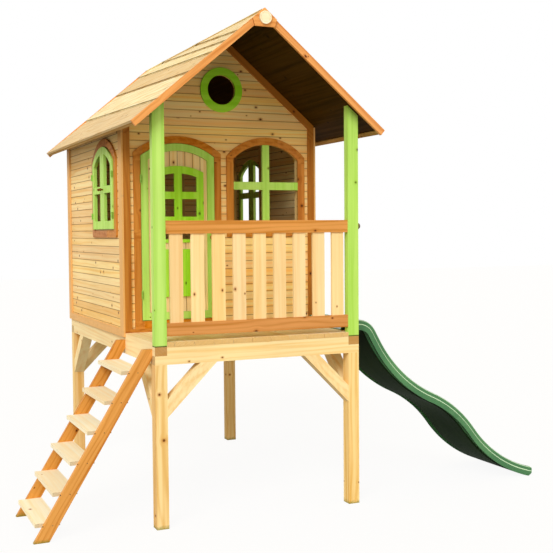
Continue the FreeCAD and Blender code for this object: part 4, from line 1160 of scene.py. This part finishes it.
capLook = {
    "mottle": {"scale": 120.0, "detail": 3.0},
    "cap": ((92, 66, 30), (116, 88, 44)),
    "painted": ((124, 162, 70), (150, 190, 88)),
    "rough": (0.3, 0.45),
}


# A moulded cap in a faintly mottled brown. The low head on the left post is painted over
def capPlastic():
    material, tree, shader = newMaterial("cap_brown")
    raw = addNode(tree, "ShaderNodeTexCoord").outputs["Object"]
    mottle = noise(tree, raw, **capLook["mottle"])
    share = fade(tree, mottle, *noiseRange)
    plain, painted = [
        mixPaint(tree, share, paint(*deep), paint(*pale))
        for deep, pale in (capLook["cap"], capLook["painted"])
    ]
    onLeft = calc(tree, "LESS_THAN", separate(tree, raw)[0], houseMiddle[0])
    plug(tree, shader.inputs["Base Color"], mixPaint(tree, onLeft, plain, painted))
    plug(tree, shader.inputs["Roughness"], spread(tree, mottle, 0, 1, *capLook["rough"]))
    return material


dress(slidePlastic(), "slide_chute")
dress(
    zincSteel("zinc_screws", (198, 198, 194), (150, 150, 146), 0.34), "slide_screws"
)
dress(
    zincSteel("painted_hinges", (150, 204, 78), (124, 176, 60), 0.36, 0.0),
    "door_hinge_flaps_fixed",
    "door_hinge_flaps_moving",
    "leaf_hinges_left_front",
    "leaf_hinges_left_back",
    "leaf_hinges_right_front",
    "leaf_hinges_right_back",
    "window_hinge_flaps_fixed",
)
dress(capPlastic(), "rail_bolts")
print("plastic and steel done")

# A screw head: the middle of its recess, then radius and height of each ring, in metres
screwLook = {
    "turns": 8,
    "middle": -0.0006,
    "rings": ((0.0011, -0.0006), (0.0015, 0.0008), (0.0029, 0.0007), (0.0036, -0.0008)),
    "upright": 0.7,
    "bright": (150, 132, 104),
    "dull": (84, 66, 46),
    "rough": 0.4,
}
screwSteel = zincSteel(
    "screw_heads", screwLook["bright"], screwLook["dull"], screwLook["rough"]
)


# Rings turned about the head's facing f: spot + radius (cos a e1 + sin a e2) + height f
def screwHeads(name, spots, facings, body):
    spots = np.asarray(spots, float)
    facings = np.asarray(facings, float)
    facings = facings / np.linalg.norm(facings, axis=1, keepdims=True)
    steep = np.abs(facings[:, 2:]) > screwLook["upright"]
    e1 = np.cross(facings, np.where(steep, [[1.0, 0, 0]], [[0, 0, 1.0]]))
    e1 /= np.linalg.norm(e1, axis=1, keepdims=True)
    e2 = np.cross(facings, e1)
    turns = screwLook["turns"]
    angle = np.arange(turns) * 2 * np.pi / turns
    rings = np.array(screwLook["rings"])
    wheel = (
        np.cos(angle)[None, :, None] * e1[:, None, :]
        + np.sin(angle)[None, :, None] * e2[:, None, :]
    )
    points = (
        spots[:, None, None, :]
        + rings[None, :, None, :1] * wheel[:, None, :, :]
        + rings[None, :, None, 1:] * facings[:, None, None, :]
    )
    middle = spots + screwLook["middle"] * facings
    count, ringCount = len(spots), len(rings)
    each = ringCount * turns + 1
    flat = np.concatenate(
        [points.reshape(count, ringCount * turns, 3), middle[:, None, :]], axis=1
    )
    k = np.arange(turns)
    after = (k + 1) % turns
    quads = np.concatenate(
        [
            np.stack([low + k, low + turns + k, low + turns + after, low + after], axis=1)
            for low in range(0, (ringCount - 1) * turns, turns)
        ]
    )
    fan = np.stack([np.full(turns, each - 1), k, after], axis=1)
    shift = (np.arange(count) * each)[:, None, None]
    faces = (quads[None] + shift).reshape(-1, 4).tolist()
    faces += (fan[None] + shift).reshape(-1, 3).tolist()
    mesh = bpy.data.meshes.new(name)
    mesh.from_pydata(flat.reshape(-1, 3).tolist(), [], faces)
    mesh.materials.append(screwSteel)
    mesh.update()
    piece = bpy.data.objects.new(name, mesh)
    bpy.context.scene.collection.objects.link(piece)
    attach(piece, body)


# Two screws through each stringer into each tread end, about the tread's middle
ladderScrews = {"first": 0.089, "treads": 6, "apart": 0.026, "inset": 0.062}
low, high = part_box("ladder_stringers")
rises = boardPlaces["treads"]["pitch"] * np.arange(ladderScrews["treads"])
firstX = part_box("ladder_treads")[0].x + ladderScrews["inset"]
middles = firstX + rises / math.tan(ladderSlope)
heights = ladderScrews["first"] + rises
spotX = np.concatenate([middles - ladderScrews["apart"], middles + ladderScrews["apart"]])
spotZ = np.concatenate([heights, heights])
nearSide = np.stack([spotX, np.full_like(spotX, low.y), spotZ], axis=1)
farSide = np.stack([spotX, np.full_like(spotX, high.y), spotZ], axis=1)
screwHeads(
    "ladder_screw_heads",
    np.concatenate([nearSide, farSide]),
    [(0, -1, 0)] * len(nearSide) + [(0, 1, 0)] * len(farSide),
    "house",
)
print("screws done")

studio = {
    "ambient": 0.65,
    "ambientColour": (1.0, 0.86, 0.54),
    "white": (1.0, 1.0, 1.0),
    "sunPower": 2.22,
    "sunColour": (0.98, 0.99, 1.0),
    "sunSpread": 30.0,
    "sunFrom": (-0.56, -0.64, 0.62),
    "fillPower": 0.36,
    "fillSpread": 60.0,
    "fillFrom": (0.05, -1.0, 0.2),
    "floorColour": (0.42, 0.4, 0.36),
    "floorRough": 0.9,
    "floorShown": 0.86,
    "floorGlow": 1.08,
    "floorSize": 60.0,
}


# 1 for rays that come from the camera, a gloss or a clear surface, else 0
def seenDirectly(tree):
    path = addNode(tree, "ShaderNodeLightPath").outputs
    mirrored = calc(tree, "MAXIMUM", path["Is Glossy Ray"], path["Is Transmission Ray"])
    return calc(tree, "MAXIMUM", path["Is Camera Ray"], mirrored)


# Rays that see the world directly see white; every other ray sees the soft ambient light
def plainWorld():
    world = bpy.data.worlds.new("soft_room")
    world.use_nodes = True
    tree = world.node_tree
    tree.nodes.clear()
    shades = [
        addNode(
            tree, "ShaderNodeBackground", {"Color": colour + (1.0,), "Strength": strength}
        ).outputs[0]
        for colour, strength in (
            (studio["ambientColour"], studio["ambient"]),
            (studio["white"], 1.0),
        )
    ]
    both = addNode(
        tree, "ShaderNodeMixShader", {0: seenDirectly(tree), 1: shades[0], 2: shades[1]}
    )
    addNode(tree, "ShaderNodeOutputWorld", {"Surface": both.outputs[0]})
    bpy.context.scene.world = world


# A pale floor that shows near white to the camera and keeps a soft shadow
def paleFloor():
    material, tree, shader = newMaterial("pale_floor")
    shader.inputs["Base Color"].default_value = studio["floorColour"] + (1.0,)
    shader.inputs["Roughness"].default_value = studio["floorRough"]
    glow = addNode(
        tree,
        "ShaderNodeEmission",
        {"Color": studio["white"] + (1.0,), "Strength": studio["floorGlow"]},
    )
    share = calc(tree, "MULTIPLY", seenDirectly(tree), studio["floorShown"])
    both = addNode(
        tree,
        "ShaderNodeMixShader",
        {0: share, 1: shader.outputs[0], 2: glow.outputs[0]},
    )
    plug(tree, tree.nodes["Material Output"].inputs["Surface"], both.outputs[0])
    half = studio["floorSize"] / 2
    mesh = bpy.data.meshes.new("floor")
    mesh.from_pydata(
        [(-half, -half, 0), (half, -half, 0), (half, half, 0), (-half, half, 0)],
        [],
        [(0, 1, 2, 3)],
    )
    mesh.materials.append(material)
    floor = bpy.data.objects.new("floor", mesh)
    bpy.context.scene.collection.objects.link(floor)


# A broad sun whose light comes from that direction, softened over the spread angle
def softSun(name, power, spreadAngle, comesFrom):
    lamp = bpy.data.lights.new(name, "SUN")
    lamp.energy = power
    lamp.color = studio["sunColour"]
    lamp.angle = math.radians(spreadAngle)
    sun = bpy.data.objects.new(name, lamp)
    sun.rotation_euler = Vector(comesFrom).to_track_quat("Z", "Y").to_euler()
    bpy.context.scene.collection.objects.link(sun)


photoView = {
    "place": (houseLeft - 1.5773, -6.1731, 1.6497),
    "yaw": 24.07,
    "pitch": -2.67,
    "roll": -0.48,
    "lens": 63.16,
    "sensor": 36.0,
    "shiftX": 0.0085,
    "shiftY": 0.0015,
}


# The camera looks along f = (sin yaw cos pitch, cos yaw cos pitch, sin pitch), and is
# rolled about f
def photoCamera():
    yaw, pitch, roll = [math.radians(photoView[k]) for k in ("yaw", "pitch", "roll")]
    forward = Vector(
        (
            math.sin(yaw) * math.cos(pitch),
            math.cos(yaw) * math.cos(pitch),
            math.sin(pitch),
        )
    )
    level = Vector((math.cos(yaw), -math.sin(yaw), 0))
    upright = level.cross(forward)
    right = level * math.cos(roll) + upright * math.sin(roll)
    up = upright * math.cos(roll) - level * math.sin(roll)
    turn = Matrix((right, up, -forward)).transposed().to_4x4()
    lens = bpy.data.cameras.new("photo_camera")
    lens.sensor_width = photoView["sensor"]
    lens.lens = photoView["lens"]
    lens.shift_x = photoView["shiftX"]
    lens.shift_y = photoView["shiftY"]
    camera = bpy.data.objects.new("photo_camera", lens)
    camera.matrix_world = Matrix.Translation(photoView["place"]) @ turn
    bpy.context.scene.collection.objects.link(camera)
    bpy.context.scene.camera = camera


plainWorld()
paleFloor()
softSun("soft_sun", studio["sunPower"], studio["sunSpread"], studio["sunFrom"])
softSun("front_fill", studio["fillPower"], studio["fillSpread"], studio["fillFrom"])
photoCamera()
bpy.context.scene.view_settings.view_transform = "Standard"
print("light and camera done")
